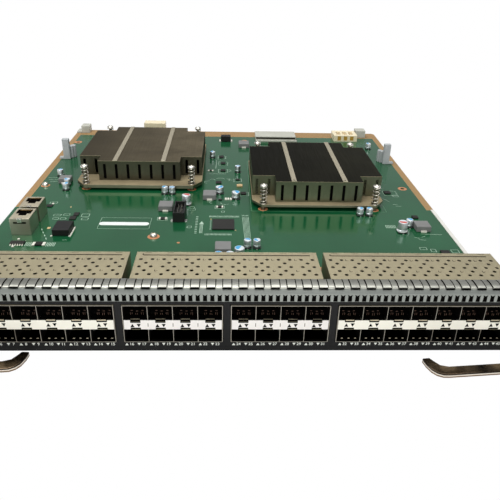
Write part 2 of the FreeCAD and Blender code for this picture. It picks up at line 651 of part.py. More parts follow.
# ---------------------------------------------------------------- connectors along the back edge
keep(box(s["rear_left"], s["board_back"] - s["rear_set"], board_top, s["rear_width"], s["rear_depth"],
         s["rear_rise"]), "backplane_connector")
power_left = board_half - s["power_inset"]
power_front = s["board_back"] - s["power_set"]
power = box(power_left, power_front, board_top, s["power_width"], s["power_depth"], s["power_rise"])
cells = [box(power_left + s["power_width"] / 2 + s["power_cell_pitch"] * k - s["power_cell"] / 2,
             power_front + s["power_cell_front"], board_top + s["power_rise"] - s["power_cell_deep"],
             s["power_cell"], s["power_cell_long"], s["power_cell_deep"]) for k in (-1, 0, 1)]
keep(cut(power, cells), "power_connector")
keep(box(s["cream_left"], s["board_back"] - s["cream_set"], board_top, s["cream_width"], s["cream_depth"],
         s["cream_rise"]), "rear_header")
guide_x = s["guide_left_inset"] - board_half
guide_y = s["board_back"] - s["guide_set"]
keep(group([fuse([box(guide_x, guide_y, board_top, s["guide_left_width"], s["guide_depth"], s["guide_rise"]),
                  box(guide_x - s["guide_wing"], guide_y, board_top, s["guide_wing"], s["guide_depth"],
                      s["guide_wing_rise"])]),
            box(board_half - s["guide_right_inset"] - s["guide_right_width"],
                s["board_back"] - s["guide_right_set"], board_top, s["guide_right_width"],
                s["guide_depth"], s["guide_rise"])]), "guide_blocks")

# posts: a tall column with a foot outwards, and a webbed round boss inwards
for name, side in (("left", -1), ("right", 1)):
    middle = (board_half - s["post_inset"]) * side
    near = s["post_%s_back" % name]
    corner = middle - s["post_wide"] / 2
    keep(fuse([
        box(corner, near, board_top, s["post_wide"], s["post_deep"], s["post_rise"]),
        box(corner + s["post_foot"] * side, near, board_top, s["post_wide"], s["post_deep"],
            s["post_foot_rise"]),
        box(corner - s["post_web_set"] * side, near + s["post_deep"], board_top, s["post_wide"],
            s["post_deep"], s["post_boss_rise"]),
        stub(middle - s["post_boss_set"] * side, near + s["post_deep"] * 2, board_top,
             s["post_boss_radius"], s["post_boss_rise"], 8)]), "edge_post_" + name)

# ---------------------------------------------------------------- ejector levers, pins and brackets
lever_high = s["lever_low"] + s["lever_thick"]
lug_low = lever_high + s["lug_clear"]
pins = []
brackets = []
for name, side, ajar in (("left", -1, 0.0), ("right", 1, LEVER_AJAR)):
    lever = new_body()
    lever_plan = new_sketch(lever, "XY_Plane", s["lever_low"])
    hub = s["hub_radius"]
    tip, near, far = s["arm_end"], s["arm_near"], s["arm_far"]
    round_end = [(hub * math.cos(math.radians(t)), hub * math.sin(math.radians(t))) for t in HUB_ARC]
    shape = ([(tip, far)] + [(tip + u, far + v) for u, v in LEVER_HOOK]
             + [(s["arm_root"], near), (s["arm_start"], near)] + round_end + [(s["arm_start"], far)])
    outline(lever_plan, [(u * -side, v) for u, v in (shape if side < 0 else reversed(shape))])
    round_hole(lever_plan, 0, 0, s["pin_radius"] + s["pin_clear"])
    pad(lever, lever_plan, s["lever_thick"])
    lever.Placement.Rotation = FreeCAD.Rotation(FreeCAD.Vector(0, 0, 1), ajar)
    x, y = (panel_half - s["pivot_inset"]) * side, s["pivot_front"]
    place(lever, x, y, 0)
    keep(lever, "lever_%s" % name)

    pins.append(fuse([
        stub(x, y, 0, s["pin_head_radius"], s["pin_head"], 8),
        rod(x, y, 0, s["pin_radius"], lug_low + s["lug_sheet"]),
        stub(x, y, lug_low + s["lug_sheet"], s["pin_head_radius"], s["pin_top_head"], 8)]))
    lug = box(x - s["lug_half"], -s["lug_reach"], lug_low, s["lug_half"] * 2, s["lug_reach"], s["lug_sheet"])
    plate = box(x - s["lug_half"], -s["lug_plate_sheet"], lug_low, s["lug_half"] * 2,
                s["lug_plate_sheet"], s["lug_plate"])
    brackets.append(cut(fuse([lug, plate]), [rod(x, y, lug_low, s["pin_radius"], s["lug_sheet"])]))
keep(group(pins), "pivot_pins")
keep(group(brackets), "lever_brackets")

# ---------------------------------------------------------------- check and write
doc.recompute()
for obj in doc.Objects:
    if "Invalid" in obj.State or "Error" in obj.State:
        raise RuntimeError("failed: %s (%s)" % (obj.Name, obj.Label))
os.makedirs("parts", exist_ok=True)
for obj in NODES:
    if obj.Shape.isNull() or not obj.Shape.isValid():
        raise RuntimeError("bad shape: " + obj.Label)
    obj.Shape.exportStep("parts/%s.step" % obj.Label)
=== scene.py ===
import math

import bmesh
import bpy
from mathutils import Matrix, Vector


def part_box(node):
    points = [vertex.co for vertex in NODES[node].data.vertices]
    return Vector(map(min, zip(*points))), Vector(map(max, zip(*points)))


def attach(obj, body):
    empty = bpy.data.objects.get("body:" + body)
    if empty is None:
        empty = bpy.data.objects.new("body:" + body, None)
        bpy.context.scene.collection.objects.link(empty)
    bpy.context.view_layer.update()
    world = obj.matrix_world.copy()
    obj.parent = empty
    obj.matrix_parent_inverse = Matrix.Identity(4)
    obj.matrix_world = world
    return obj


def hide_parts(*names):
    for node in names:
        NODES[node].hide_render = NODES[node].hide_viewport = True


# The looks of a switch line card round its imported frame.  Lengths below are in millimetres and
# become metres when a piece is finished.
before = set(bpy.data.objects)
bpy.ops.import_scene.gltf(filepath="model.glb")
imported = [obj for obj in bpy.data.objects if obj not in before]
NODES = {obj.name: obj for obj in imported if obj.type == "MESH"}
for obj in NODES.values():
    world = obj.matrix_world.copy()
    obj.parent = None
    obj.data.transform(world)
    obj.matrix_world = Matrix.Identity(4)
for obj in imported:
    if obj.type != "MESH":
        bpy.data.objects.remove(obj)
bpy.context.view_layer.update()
MM = 0.001


def corners(node):
    """Lowest and highest corner of a CAD node, in millimetres."""
    low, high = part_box(node)
    return low / MM, high / MM


def about(middle, half):
    """The range that reaches half to each side of a middle."""
    return middle - half, middle + half


def mid_x(low, high):
    return (low.x + high.x) / 2


def angles(sides):
    return [2 * math.pi * k / sides for k in range(sides)]


def islands(node):
    """Boxes round the separate solids of a CAD node, in millimetres, from left to right."""
    mesh = bmesh.new()
    mesh.from_mesh(NODES[node].data)
    bmesh.ops.remove_doubles(mesh, verts=mesh.verts, dist=0.002 * MM)
    waiting, found = set(mesh.verts), []
    while waiting:
        solid = [waiting.pop()]
        for vert in solid:
            for edge in vert.link_edges:
                other = edge.other_vert(vert)
                if other in waiting:
                    waiting.remove(other)
                    solid.append(other)
        low, high = (Vector([pick(v.co[i] for v in solid) for i in range(3)]) / MM for pick in (min, max))
        found.append((low, high))
    mesh.free()
    return sorted(found, key=lambda pair: tuple(pair[0]))


BOARD_HIGH = corners("circuit_board")[1]
TOP = BOARD_HIGH.z                      # the board's component side
PANEL_LOW, PANEL_HIGH = corners("front_panel")
PITCH = 14.25                           # port columns
GROUP_GAP = 4.7
GROUPS = [8, 4, 4, 8]
COLUMNS = sum(GROUPS)
OUTER_GROUPS = (0, 3)


def group_left(index):
    return PITCH * (sum(GROUPS[:index]) - COLUMNS / 2) + GROUP_GAP * (index - len(GROUPS) / 2 + 0.5)


def columns():
    """Group, left edge and running number of every port column."""
    number = 0
    for index, count in enumerate(GROUPS):
        for k in range(count):
            yield index, group_left(index) + PITCH * k, number
            number += 1


# ---- materials
class Look:
    """A material with short calls for its nodes."""

    def __init__(self, name):
        self.material = bpy.data.materials.new(name)
        self.material.use_nodes = True
        self.tree = self.material.node_tree
        self.surface = self.tree.nodes["Principled BSDF"]
        self.place = self.tree.nodes.new("ShaderNodeTexCoord").outputs["Object"]

    def add(self, kind, settings=None, **inputs):
        node = self.tree.nodes.new("ShaderNode" + kind)
        for key, value in (settings or {}).items():
            setattr(node, key, value)
        for key, value in inputs.items():
            self.feed(node.inputs[key.replace("_", " ")], value)
        return node

    def feed(self, socket, value):
        if isinstance(value, bpy.types.NodeSocket):
            self.tree.links.new(value, socket)
        else:
            socket.default_value = value

    def set(self, **inputs):
        for key, value in inputs.items():
            self.feed(self.surface.inputs[key.replace("_", " ")], value)
        return self

    def stretched(self, scale):
        """Object coordinates scaled per axis, in waves a metre."""
        return self.add("Mapping", Vector=self.place, Scale=scale).outputs["Vector"]

    def noise(self, scale, detail, rough=0.55):
        return self.add("TexNoise", Vector=self.stretched(scale), Scale=1.0, Detail=detail,
                Roughness=rough).outputs["Fac"]

    def ramp(self, value, low, high, out_low=0.0, out_high=1.0):
        return self.add("MapRange", Value=value, From_Min=low, From_Max=high, To_Min=out_low,
                To_Max=out_high).outputs["Result"]

    def mix(self, factor, first, second):
        node = self.add("Mix", {"data_type": "RGBA"})
        self.feed(node.inputs[0], factor)
        self.feed(node.inputs[6], first)
        self.feed(node.inputs[7], second)
        return node.outputs[2]

    def math(self, kind, first, second=0.0):
        node = self.add("Math", {"operation": kind})
        self.feed(node.inputs[0], first)
        self.feed(node.inputs[1], second)
        return node.outputs[0]

    def bump(self, height, strength):
        node = self.add("Bump", Height=height, Strength=strength, Distance=0.0001)
        return self.set(Normal=node.outputs["Normal"])


def shade(red, green, blue):
    """A colour read as screen values from 0 to 255."""
    def linear(value):
        value /= 255
        return value / 12.92 if value <= 0.04045 else ((value + 0.055) / 1.055) ** 2.4
    return (linear(red), linear(green), linear(blue), 1.0)


def darker(colour, share):
    return tuple(c * share for c in colour[:3]) + (1.0,)


def metal(name, colour, rough, brush=(60, 1500, 60), spread=0.12, wear=0.25, bump=0.08):
    """Bare or plated metal: brushed along one axis, with soft patches of tarnish."""
    look, colour = Look(name), shade(*colour)
    grain = look.noise(brush, 4.0)
    patch = look.noise((45, 45, 45), 5.0, 0.6)
    look.set(Base_Color=look.mix(look.ramp(patch, 0.35, 0.7), colour, darker(colour, 1 - wear)),
            Metallic=1.0,
            Roughness=look.math("ADD", look.ramp(grain, 0.3, 0.7, rough - spread / 2, rough + spread / 2),
            look.ramp(patch, 0.3, 0.7, -0.04, 0.06)))
    return look.bump(grain, bump).material


def moulded(name, colour, rough, grain=2500, bump=0.15, spread=0.12, sheen=0.5):
    """Moulded plastic: fine spark-eroded grain and slight colour drift."""
    look, colour = Look(name), shade(*colour)
    fine = look.noise((grain, grain, grain), 2.0)
    drift = look.noise((90, 90, 90), 3.0)
    look.set(Base_Color=look.mix(look.ramp(drift, 0.3, 0.7), colour, darker(colour, 1 - spread)),
            Roughness=look.ramp(fine, 0.3, 0.7, rough - 0.06, rough + 0.06), Specular_IOR_Level=sheen)
    return look.bump(fine, bump).material


def board_look():
    """Green solder mask over faint copper runs, with bare laminate along the edges."""
    look = Look("board_green_mask")
    cloud = look.noise((14, 10, 14), 4.0)
    runs = look.add("TexWave", {"bands_direction": "X"}, Vector=look.stretched((1, 1, 1)), Scale=380.0,
            Distortion=9.0, Detail=2.0, Detail_Scale=0.35).outputs["Fac"]
    fine = look.noise((2600, 2600, 2600), 2.0)
    mask = look.mix(look.ramp(cloud, 0.35, 0.65), shade(8, 70, 38), shade(15, 80, 46))
    mask = look.mix(look.ramp(runs, 0.75, 0.95, 0.0, 0.08), mask, shade(56, 108, 74))
    mask = look.mix(look.ramp(fine, 0.3, 0.7, 0.0, 0.16), mask, shade(6, 48, 28))
    weave = look.noise((900, 2200, 900), 2.0)
    bare = look.mix(look.ramp(weave, 0.35, 0.65), shade(160, 128, 84), shade(138, 108, 68))
    axes = look.add("SeparateXYZ", Vector=look.place)
    across, along = axes.outputs["X"], axes.outputs["Y"]
    side = look.math("GREATER_THAN", look.math("ABSOLUTE", across), (BOARD_HIGH.x - 6.5) * MM)
    strip_end = corners("board_edge_strip")[1].y * MM
    side = look.math("MULTIPLY", side, look.math("GREATER_THAN", along, strip_end))
    back = look.math("GREATER_THAN", along, (BOARD_HIGH.y - 22.0) * MM)
    edge = look.math("MAXIMUM", side, back)
    look.set(Base_Color=look.mix(edge, mask, bare), Roughness=look.ramp(edge, 0, 1, 0.14, 0.6),
            IOR=look.ramp(edge, 0, 1, 1.72, 1.45), Specular_IOR_Level=0.5,
            Specular_Tint=look.mix(edge, shade(214, 255, 224), shade(255, 255, 255)))
    return look.bump(fine, 0.04).material


def paint_look():
    """Satin black powder coat."""
    look = Look("panel_satin_black")
    peel = look.noise((1400, 1400, 1400), 3.0)
    dust = look.noise((60, 60, 60), 5.0)
    look.set(Base_Color=look.mix(look.ramp(dust, 0.4, 0.8), shade(10, 10, 10), shade(16, 16, 15)),
            Roughness=look.ramp(dust, 0.3, 0.7, 0.5, 0.6), Specular_IOR_Level=0.25)
    return look.bump(peel, 0.15).material


def painted_top_and_front(name, node, flat, upright, rough, brush, fall=0.34):
    """Plated metal with painted light: dark painted tops over lighter painted uprights."""
    look, flat, upright = Look(name), shade(*flat), shade(*upright)
    grain = look.noise(brush, 4.0)
    patch = look.noise((22, 30, 30), 6.0, 0.65)
    normal = look.add("NewGeometry").outputs["Normal"]
    up = look.ramp(look.add("SeparateXYZ", Vector=normal).outputs["Z"], 0.4, 0.8)
    low, high = corners(node)
    across = look.add("SeparateXYZ", Vector=look.place).outputs["X"]
    # painted shade: the tops get darker towards low x
    shaded = look.mix(look.ramp(across, low.x * MM, high.x * MM), darker(flat, fall), flat)
    # darker patches and grain lines on the tops
    top = look.mix(look.ramp(patch, 0.35, 0.7, 0.0, 0.7), shaded, darker(flat, 0.3))
    top = look.mix(look.ramp(grain, 0.45, 0.75, 0.0, 0.3), top, darker(flat, 0.5))
    front = look.mix(look.ramp(patch, 0.35, 0.7), upright, darker(upright, 0.75))
    # tops take the dark colour as a painted reflection, uprights the lighter one as a painted highlight
    look.set(Base_Color=look.mix(up, front, top), Metallic=look.ramp(up, 0, 1, 1.0, 0.0),
            Roughness=look.ramp(grain, 0.3, 0.7, rough - 0.05, rough + 0.08), Specular_IOR_Level=0.02)
    return look.bump(grain, 0.06).material


def cage_wall_look(cage):
    """Nickel silver outside, painted black as shade on the faces inside the ports."""
    look = Look("cage_%s_wall" % cage)
    low, high = corners("cage_%s_walls" % cage)
    axes = look.add("SeparateXYZ", Vector=look.place)
    middle, half = mid_x(low, high), (high.x - low.x) / 2
    offset = look.math("ABSOLUTE", look.math("SUBTRACT", axes.outputs["X"], middle * MM))
    side = look.math("GREATER_THAN", offset, (half - 0.04) * MM)
    rear = look.math("GREATER_THAN", axes.outputs["Y"], (corners("cage_%s_rear" % cage)[1].y - 0.04) * MM)
    outside = look.math("MAXIMUM", side, rear)
    grain = look.noise((60, 60, 900), 3.0)
    look.set(Base_Color=look.mix(outside, shade(13, 11, 10), shade(158, 148, 122)), Metallic=outside,
            Roughness=look.ramp(grain, 0.3, 0.7, 0.4, 0.55), Specular_IOR_Level=0.15)
    return look.bump(grain, 0.06).material


def lever_look():
    """Bright plate with painted light: a dark painted top and painted bands on the uprights."""
    look = Look("lever_chrome")
    patch = look.noise((60, 60, 60), 5.0, 0.6)
    normal = look.add("NewGeometry").outputs["Normal"]
    up = look.ramp(look.add("SeparateXYZ", Vector=normal).outputs["Z"], 0.4, 0.8)
    low, high = corners("lever_left")
    rise = look.add("SeparateXYZ", Vector=look.place).outputs["Z"]
    share = look.ramp(rise, low.z * MM, high.z * MM)
    # uprights by height: painted shade low down, a painted highlight band along the rolled edge and darker
    # painted shade above it
    edge = look.mix(look.ramp(share, 0.36, 0.44), shade(120, 98, 76), shade(226, 218, 204))
    edge = look.mix(look.ramp(share, 0.60, 0.68), edge, shade(44, 37, 30))
    # the top painted dark as a painted reflection, in patches
    top = look.mix(look.ramp(patch, 0.4, 0.65), shade(112, 96, 78), shade(34, 29, 24))
    look.set(Base_Color=look.mix(up, edge, top), Metallic=1.0,
            Roughness=look.ramp(patch, 0.3, 0.7, 0.16, 0.3))
    return look.bump(patch, 0.02).material


def painted_shade_look():
    """Painted shade for deep openings and gaps: black without any shine."""
    look = Look("painted_shade_black")
    fine = look.noise((2000, 2000, 2000), 2.0)
    look.set(Base_Color=look.mix(fine, shade(4, 4, 4), shade(12, 11, 9)), Roughness=0.95,
            Specular_IOR_Level=0.0)
    return look.bump(fine, 0.02).material


M = {
    "panel": paint_look(),
    "board": board_look(),
    "tin": metal("tin_strip", (150, 154, 148), 0.4, (20, 900, 900), 0.08, 0.1),
    "nickel": metal("cage_nickel_silver", (186, 176, 146), 0.45, (1200, 60, 60), 0.1, 0.14),
    "port_dark": moulded("port_inner_black", (13, 11, 10), 0.6, 2500, 0.1, 0.2, 0.15),
    "tab": metal("latch_tab", (212, 200, 172), 0.35),
    # a darker copy of the tab metal: painted shade on the lower tabs and in the bar slits
    "tab_shaded": metal("latch_tab_shaded", (120, 116, 96), 0.45),
    "contact": moulded("port_contact", (96, 74, 62), 0.5),
    "gold": metal("gold_contact", (214, 172, 90), 0.3, (60, 60, 900)),
    "bar_cream": moulded("light_bar_cream", (232, 229, 214), 0.35, 1500, 0.05, 0.03),
    "bar_white": moulded("light_bar_white", (228, 224, 218), 0.35, 1500, 0.05, 0.03),
    # a lighter copy of the cage nickel: painted highlight on the cover's lip and edges
    "nickel_painted_highlight": metal("cage_lip", (204, 192, 160), 0.35, (1200, 60, 60), 0.1, 0.1),
    "edge_bright": metal("port_edge", (190, 184, 170), 0.4, (60, 60, 900), 0.1, 0.2),
    "shadow_line": moulded("shadow_line", (40, 35, 27), 0.8, 2500, 0.15, 0.12, 0.1),
    "blade": moulded("blade_brass", (176, 136, 44), 0.35),
    "solder_white": moulded("solder_pale", (222, 220, 206), 0.35, 1500, 0.1, 0.1),
    "silk_faint": moulded("silkscreen_faint", (92, 138, 104), 0.6, 2500, 0.1, 0.1),
    "can_top": moulded("can_top", (206, 214, 218), 0.4),
    "spring": metal("spring_wire", (206, 200, 186), 0.26, (900, 900, 60), 0.08, 0.1, 0.04),
    "shank": metal("screw_shank", (128, 122, 108), 0.4, (60, 60, 900), 0.08, 0.1),
    # painted highlight on the fins' top rims
    "fin_edge": metal("fin_edge", (178, 166, 138), 0.4, (900, 60, 60), 0.1, 0.2),
    "ink_dark": moulded("ink_dark", (14, 13, 12), 0.8, 2500, 0.1, 0.1, 0.1),
    "ink_pale": moulded("ink_pale", (222, 226, 216), 0.6),
    "silk": moulded("silkscreen", (168, 192, 172), 0.6, 2500, 0.1, 0.2),
    "label": moulded("label_paper", (226, 230, 226), 0.6),
    "socket": moulded("socket_black", (20, 20, 20), 0.5),
    "chip": moulded("chip_black", (34, 33, 30), 0.55, 3000, 0.3, 0.12, 0.25),
    "module": moulded("module_black", (20, 20, 19), 0.5, 2500, 0.25, 0.12, 0.3),
    "coil": moulded("inductor_grey", (116, 116, 114), 0.6, 1800, 0.5, 0.1),
    "foot": moulded("foot_black", (16, 16, 16), 0.5),
    "solder": metal("solder", (214, 214, 208), 0.28),
    "can": metal("can_aluminium", (222, 226, 228), 0.42, (60, 60, 1500), 0.08, 0.06),
    "can_blue": moulded("can_mark_blue", (70, 158, 206), 0.4),
    "can_red": moulded("can_mark_red", (192, 92, 84), 0.4),
    "copper": moulded("copper_ring", (196, 132, 90), 0.35, 1200, 0.1, 0.25),
    "steel": metal("bright_steel", (232, 228, 216), 0.16, (60, 60, 900), 0.08, 0.08, 0.04),
    "zinc": metal("plain_steel", (180, 180, 172), 0.35),
    # sinks: tops painted dark as a painted reflection over lighter uprights, with painted shade across x
    "base": painted_top_and_front("sink_base_nickel", "circuit_board", (158, 144, 114), (152, 145, 124), 0.4,
        (60, 1200, 60), 0.9),
    "fins_left": painted_top_and_front("fins_brown", "sink_left_fins", (96, 88, 71), (96, 94, 79), 0.4,
        (1600, 40, 80)),
    "fins_right": painted_top_and_front("fins_dark", "sink_right_fins", (32, 31, 22), (126, 128, 106), 0.4,
        (1600, 40, 80)),
    "strap": metal("strap_plain", (190, 182, 160), 0.5, (1500, 60, 60), 0.1, 0.1),
    "jack": metal("jack_shell", (190, 184, 166), 0.34, (60, 60, 1200), 0.12, 0.15),
    "grey": moulded("connector_grey", (184, 184, 172), 0.5),
    "cream": moulded("connector_cream", (228, 216, 184), 0.5, 2500, 0.15, 0.06),
    "post": moulded("post_grey", (170, 174, 174), 0.5),
    "pale": moulded("edge_strip_pale", (214, 212, 204), 0.5),
    "tan": moulded("part_tan", (206, 176, 128), 0.5),
    "pad": moulded("thermal_pad", (150, 150, 152), 0.8),
    "lever": lever_look(),
    "painted_shade": painted_shade_look(),
    # a lighter copy of the tin: painted highlight on the contact strip's bump
    "tin_painted_highlight": metal("tin_bump", (178, 178, 168), 0.34, (20, 900, 900), 0.08, 0.4),
    # a lighter copy of the jack metal: painted highlight on the jacks' tops
    "jack_top": metal("jack_top", (222, 212, 186), 0.42, (900, 60, 60), 0.12, 0.15),
}


# ---- building meshes
UPRIGHT = Matrix.Rotation(math.radians(90), 4, "X")    # stands what lies flat


class Shape:
    """Collects simple forms into one mesh, in millimetres."""

    def __init__(self):
        self.mesh = bmesh.new()

    def block(self, x, y, z):
        """A box from its three ranges, each given in either order."""
        verts = [self.mesh.verts.new((a, b, c)) for c in sorted(z) for b in sorted(y) for a in sorted(x)]
        for face in ((0, 2, 3, 1), (4, 5, 7, 6), (0, 1, 5, 4), (2, 6, 7, 3), (0, 4, 6, 2), (1, 3, 7, 5)):
            self.mesh.faces.new([verts[i] for i in face])
        return self

    def skin(self, rows, closed=False):
        """Faces between each row of corners and the next; the two ends are filled unless it closes."""
        for low, high in zip(rows, rows[1:] + rows[:1] if closed else rows[1:]):
            for k in range(len(low)):
                j = (k + 1) % len(low)
                self.mesh.faces.new((low[k], low[j], high[j], high[k]))
        if not closed:
            self.mesh.faces.new(rows[0][::-1])
            self.mesh.faces.new(rows[-1])
        return self

    def sweep(self, outline, along, low, high):
        """An outline pushed along one axis: 0 from (y, z), 1 from (x, z), 2 from (x, y)."""
        def spot(pair, level):
            point = list(pair)
            point.insert(along, level)
            return point
        return self.skin([[self.mesh.verts.new(spot(p, level)) for p in outline] for level in (low, high)])

    def rings(self, x, y, profile, sides):
        """Rows of corners round an upright axis, one for each (radius, z)."""
        return [[self.mesh.verts.new((x + r * math.cos(a), y + r * math.sin(a), z)) for a in angles(sides)]
                for r, z in profile]

    def turned(self, x, y, profile, sides=24):
        """A profile of (radius, z) turned about an upright axis; both ends are closed."""
        return self.skin(self.rings(x, y, profile, sides))

    def ring(self, x, y, inner, outer, z):
        """A flat washer."""
        profile = ((inner, z[0]), (outer, z[0]), (outer, z[1]), (inner, z[1]))
        return self.skin(self.rings(x, y, profile, 28), closed=True)

    def coil(self, x, y, radius, wire, low, high, turns):
        """A round-wire coil spring with a flat turn at each end."""
        rows, steps, sides = [], 22, 8      # steps round each turn, sides of the wire
        total = int(turns * steps)
        flat = 1 / turns
        for i in range(total + 1):
            t = i / total
            a = 2 * math.pi * turns * t
            rise = min(max((t - flat) / (1 - 2 * flat), 0), 1)
            centre = Vector((x + radius * math.cos(a), y + radius * math.sin(a),
                    low + wire + (high - low - 2 * wire) * rise))
            out = Vector((math.cos(a), math.sin(a), 0))
            rows.append([self.mesh.verts.new(centre + out * wire * math.cos(b)
                    + Vector((0, 0, wire * math.sin(b)))) for b in angles(sides)])
        return self.skin(rows)

    def add(self, data, matrix=Matrix.Identity(4)):
        """Another mesh's faces, moved by a matrix."""
        before = len(self.mesh.verts)
        self.mesh.from_mesh(data)
        self.mesh.verts.ensure_lookup_table()
        for vert in self.mesh.verts[before:]:
            vert.co = matrix @ vert.co
        return self

    def piece(self, name, look, slot=None, stands_for=(), bevel=0, smooth=False):
        """The finished object, in metres, riding on the card."""
        bmesh.ops.recalc_face_normals(self.mesh, faces=self.mesh.faces)
        self.mesh.transform(Matrix.Scale(MM, 4))
        data = bpy.data.meshes.new(name)
        self.mesh.to_mesh(data)
        self.mesh.free()
        obj = bpy.data.objects.new(name, data)
        bpy.context.scene.collection.objects.link(obj)
        return dress(obj, look, "card", stands_for, bevel, 2, smooth)


def dress(obj, look, body, stands_for, bevel, segments, smooth=False):
    obj.data.materials.clear()
    obj.data.materials.append(M[look])
    if bevel:
        rounding = obj.modifiers.new("edges", "BEVEL")
        rounding.width = bevel * MM
        rounding.segments = segments
        rounding.limit_method = "ANGLE"
        rounding.harden_normals = True
        smooth = True
    if smooth:
        obj.data.shade_smooth()
        obj.data.set_sharp_from_angle(angle=math.radians(40))
    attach(obj, body)
    if stands_for:
        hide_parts(*stands_for)
    return obj


def softened(node, look, bevel, body="card", segments=2):
    """A CAD node's own form with its edges broken, in place of the sharp one."""
    obj = bpy.data.objects.new(node + "_finished", NODES[node].data.copy())
    bpy.context.scene.collection.objects.link(obj)
    mesh = bmesh.new()
    mesh.from_mesh(obj.data)
    bmesh.ops.remove_doubles(mesh, verts=mesh.verts, dist=0.002 * MM)
    bmesh.ops.dissolve_limit(mesh, angle_limit=math.radians(1), verts=mesh.verts, edges=mesh.edges)
    mesh.to_mesh(obj.data)
    mesh.free()
    return dress(obj, look, body, (node,), bevel, segments)


def punched(name, outline, holes, low, high, across="z"):
    """A flat sheet with holes, as mesh data: outlines are (a, b) pairs in the sheet's own plane."""
    curve = bpy.data.curves.new(name, "CURVE")
    curve.dimensions = "2D"
    curve.fill_mode = "BOTH"
    curve.extrude = (high - low) / 2
    for loop in [outline] + holes:
        spline = curve.splines.new("POLY")
        spline.points.add(len(loop) - 1)
        for point, (a, b) in zip(spline.points, loop):
            point.co = (a, b, 0, 1)
        spline.use_cyclic_u = True
    holder = bpy.data.objects.new(name, curve)
    data = bpy.data.meshes.new_from_object(holder)
    bpy.data.objects.remove(holder)
    bpy.data.curves.remove(curve)
    middle = (low + high) / 2
    if across == "y":
        return data, UPRIGHT @ Matrix.Translation((0, 0, -middle))
    return data, Matrix.Translation((0, 0, middle))


def disc(x, y, radius):
    return [(x + radius * math.cos(a), y + radius * math.sin(a)) for a in angles(14)]


def frame_of(x, y):
    return [(x[0], y[0]), (x[1], y[0]), (x[1], y[1]), (x[0], y[1])]


def written(text, height):
    """Plain figures as flat mesh data, centred, one unit a millimetre."""
    curve = bpy.data.curves.new("figure", "FONT")
    curve.body = text
    curve.size = height * 1.38
    curve.align_x = "CENTER"
    curve.align_y = "CENTER"
    curve.extrude = 0.02
    curve.offset = 0.03
    holder = bpy.data.objects.new("figure", curve)
    data = bpy.data.meshes.new_from_object(holder)
    bpy.data.objects.remove(holder)
    return data


# ---- contact strip on the panel's top edge
def arch_line(low, high, rise, steps):
    """Points (y, z) over the strip's bump."""
    middle, half = (low + high) / 2, (high - low) / 2
    return [(middle - half * math.cos(math.pi * k / steps), rise * math.sin(math.pi * k / steps) ** 0.7)
            for k in range(steps + 1)]


def contact_strip():
    low, high = corners("top_gasket")
    skin, top = 0.3, PANEL_HIGH.z
    strip, bump, dark = Shape(), Shape(), Shape()
    # upright leg: a comb of slots, each with two small points at its top, over a dark sheet of painted
    # shade
    pitch, wide, foot, peak = 4.1, 2.5, low.z + 0.15, top - 0.4
    count = int((high.x - low.x - 3) // pitch)
    holes = []
    for k in range(count):
        x = pitch * (k - (count - 1) / 2)
        a, b = x - wide / 2, x + wide / 2
        holes.append([(a, foot), (b, foot), (b - 0.15, peak - 0.9), (b + 0.25, peak + 0.35),
                (x + 0.35, peak - 0.25), (x, peak - 0.6), (x - 0.35, peak - 0.25), (a - 0.25, peak + 0.35),
                (a + 0.15, peak - 0.9)])
    strip.add(*punched("comb", frame_of((low.x, high.x), (low.z, top + skin)), holes, -skin, 0, "y"))
    dark.block((low.x + 0.6, high.x - 0.6), (-0.07, -0.02), (foot - 0.2, top - 0.2))
    # flat web, back edge and the bump between them; the bump is painted lighter as a highlight
    front, back = 5.5, 15.2
    strip.block((low.x, high.x), (0, front), (top, top + skin))
    strip.block((low.x, high.x), (back, high.y), (top, top + skin))
    line = [(y, top + skin + z) for y, z in arch_line(front, back, 1.1, 16)]
    bump.sweep(line + [(y, z - skin) for y, z in reversed(line)], 0, low.x, high.x)
    # every second finger is cut free on three sides and stands a little proud
    step, finger, slit = 9.2, 4.7, 0.5
    raised = [(y, z + 0.28) for y, z in line[2:-2]]
    for k in range(int((high.x - low.x - finger) // step) + 1):
        x = low.x + 2.6 + step * k
        bump.sweep(raised + [(y, z - skin) for y, z in reversed(raised)], 0, x, x + finger)
        # the finger's front lip, in the bump's painted highlight
        lip = raised[0]
        bump.block((x, x + finger), (lip[0] - 0.6, lip[0] + 0.1), (lip[1] - 0.32, lip[1] - 0.02))
        # dark sheets of painted shade in the slits beside the finger, under its lip and behind its rear end
        for edge in (x - slit, x + finger):
            cut = [(y, z + 0.06) for y, z in raised]
            dark.sweep(cut + [(y, z - 0.3) for y, z in reversed(raised)], 0, edge, edge + slit)
        dark.block((x - slit, x + finger + 0.1), (lip[0] - 1.2, lip[0] - 0.6), (lip[1] - 0.6, lip[1] - 0.1))
        rear = raised[-1]
        dark.block((x + 0.2, x + finger - 0.2), (rear[0], rear[0] + 0.45), (rear[1] - 0.55, rear[1] - 0.2))
    strip.piece("contact_strip", "tin", slot="tin_strip", stands_for=("top_gasket",), smooth=True)
    bump.piece("contact_strip_bump", "tin_painted_highlight", smooth=True)
    dark.piece("contact_strip_gaps", "painted_shade")


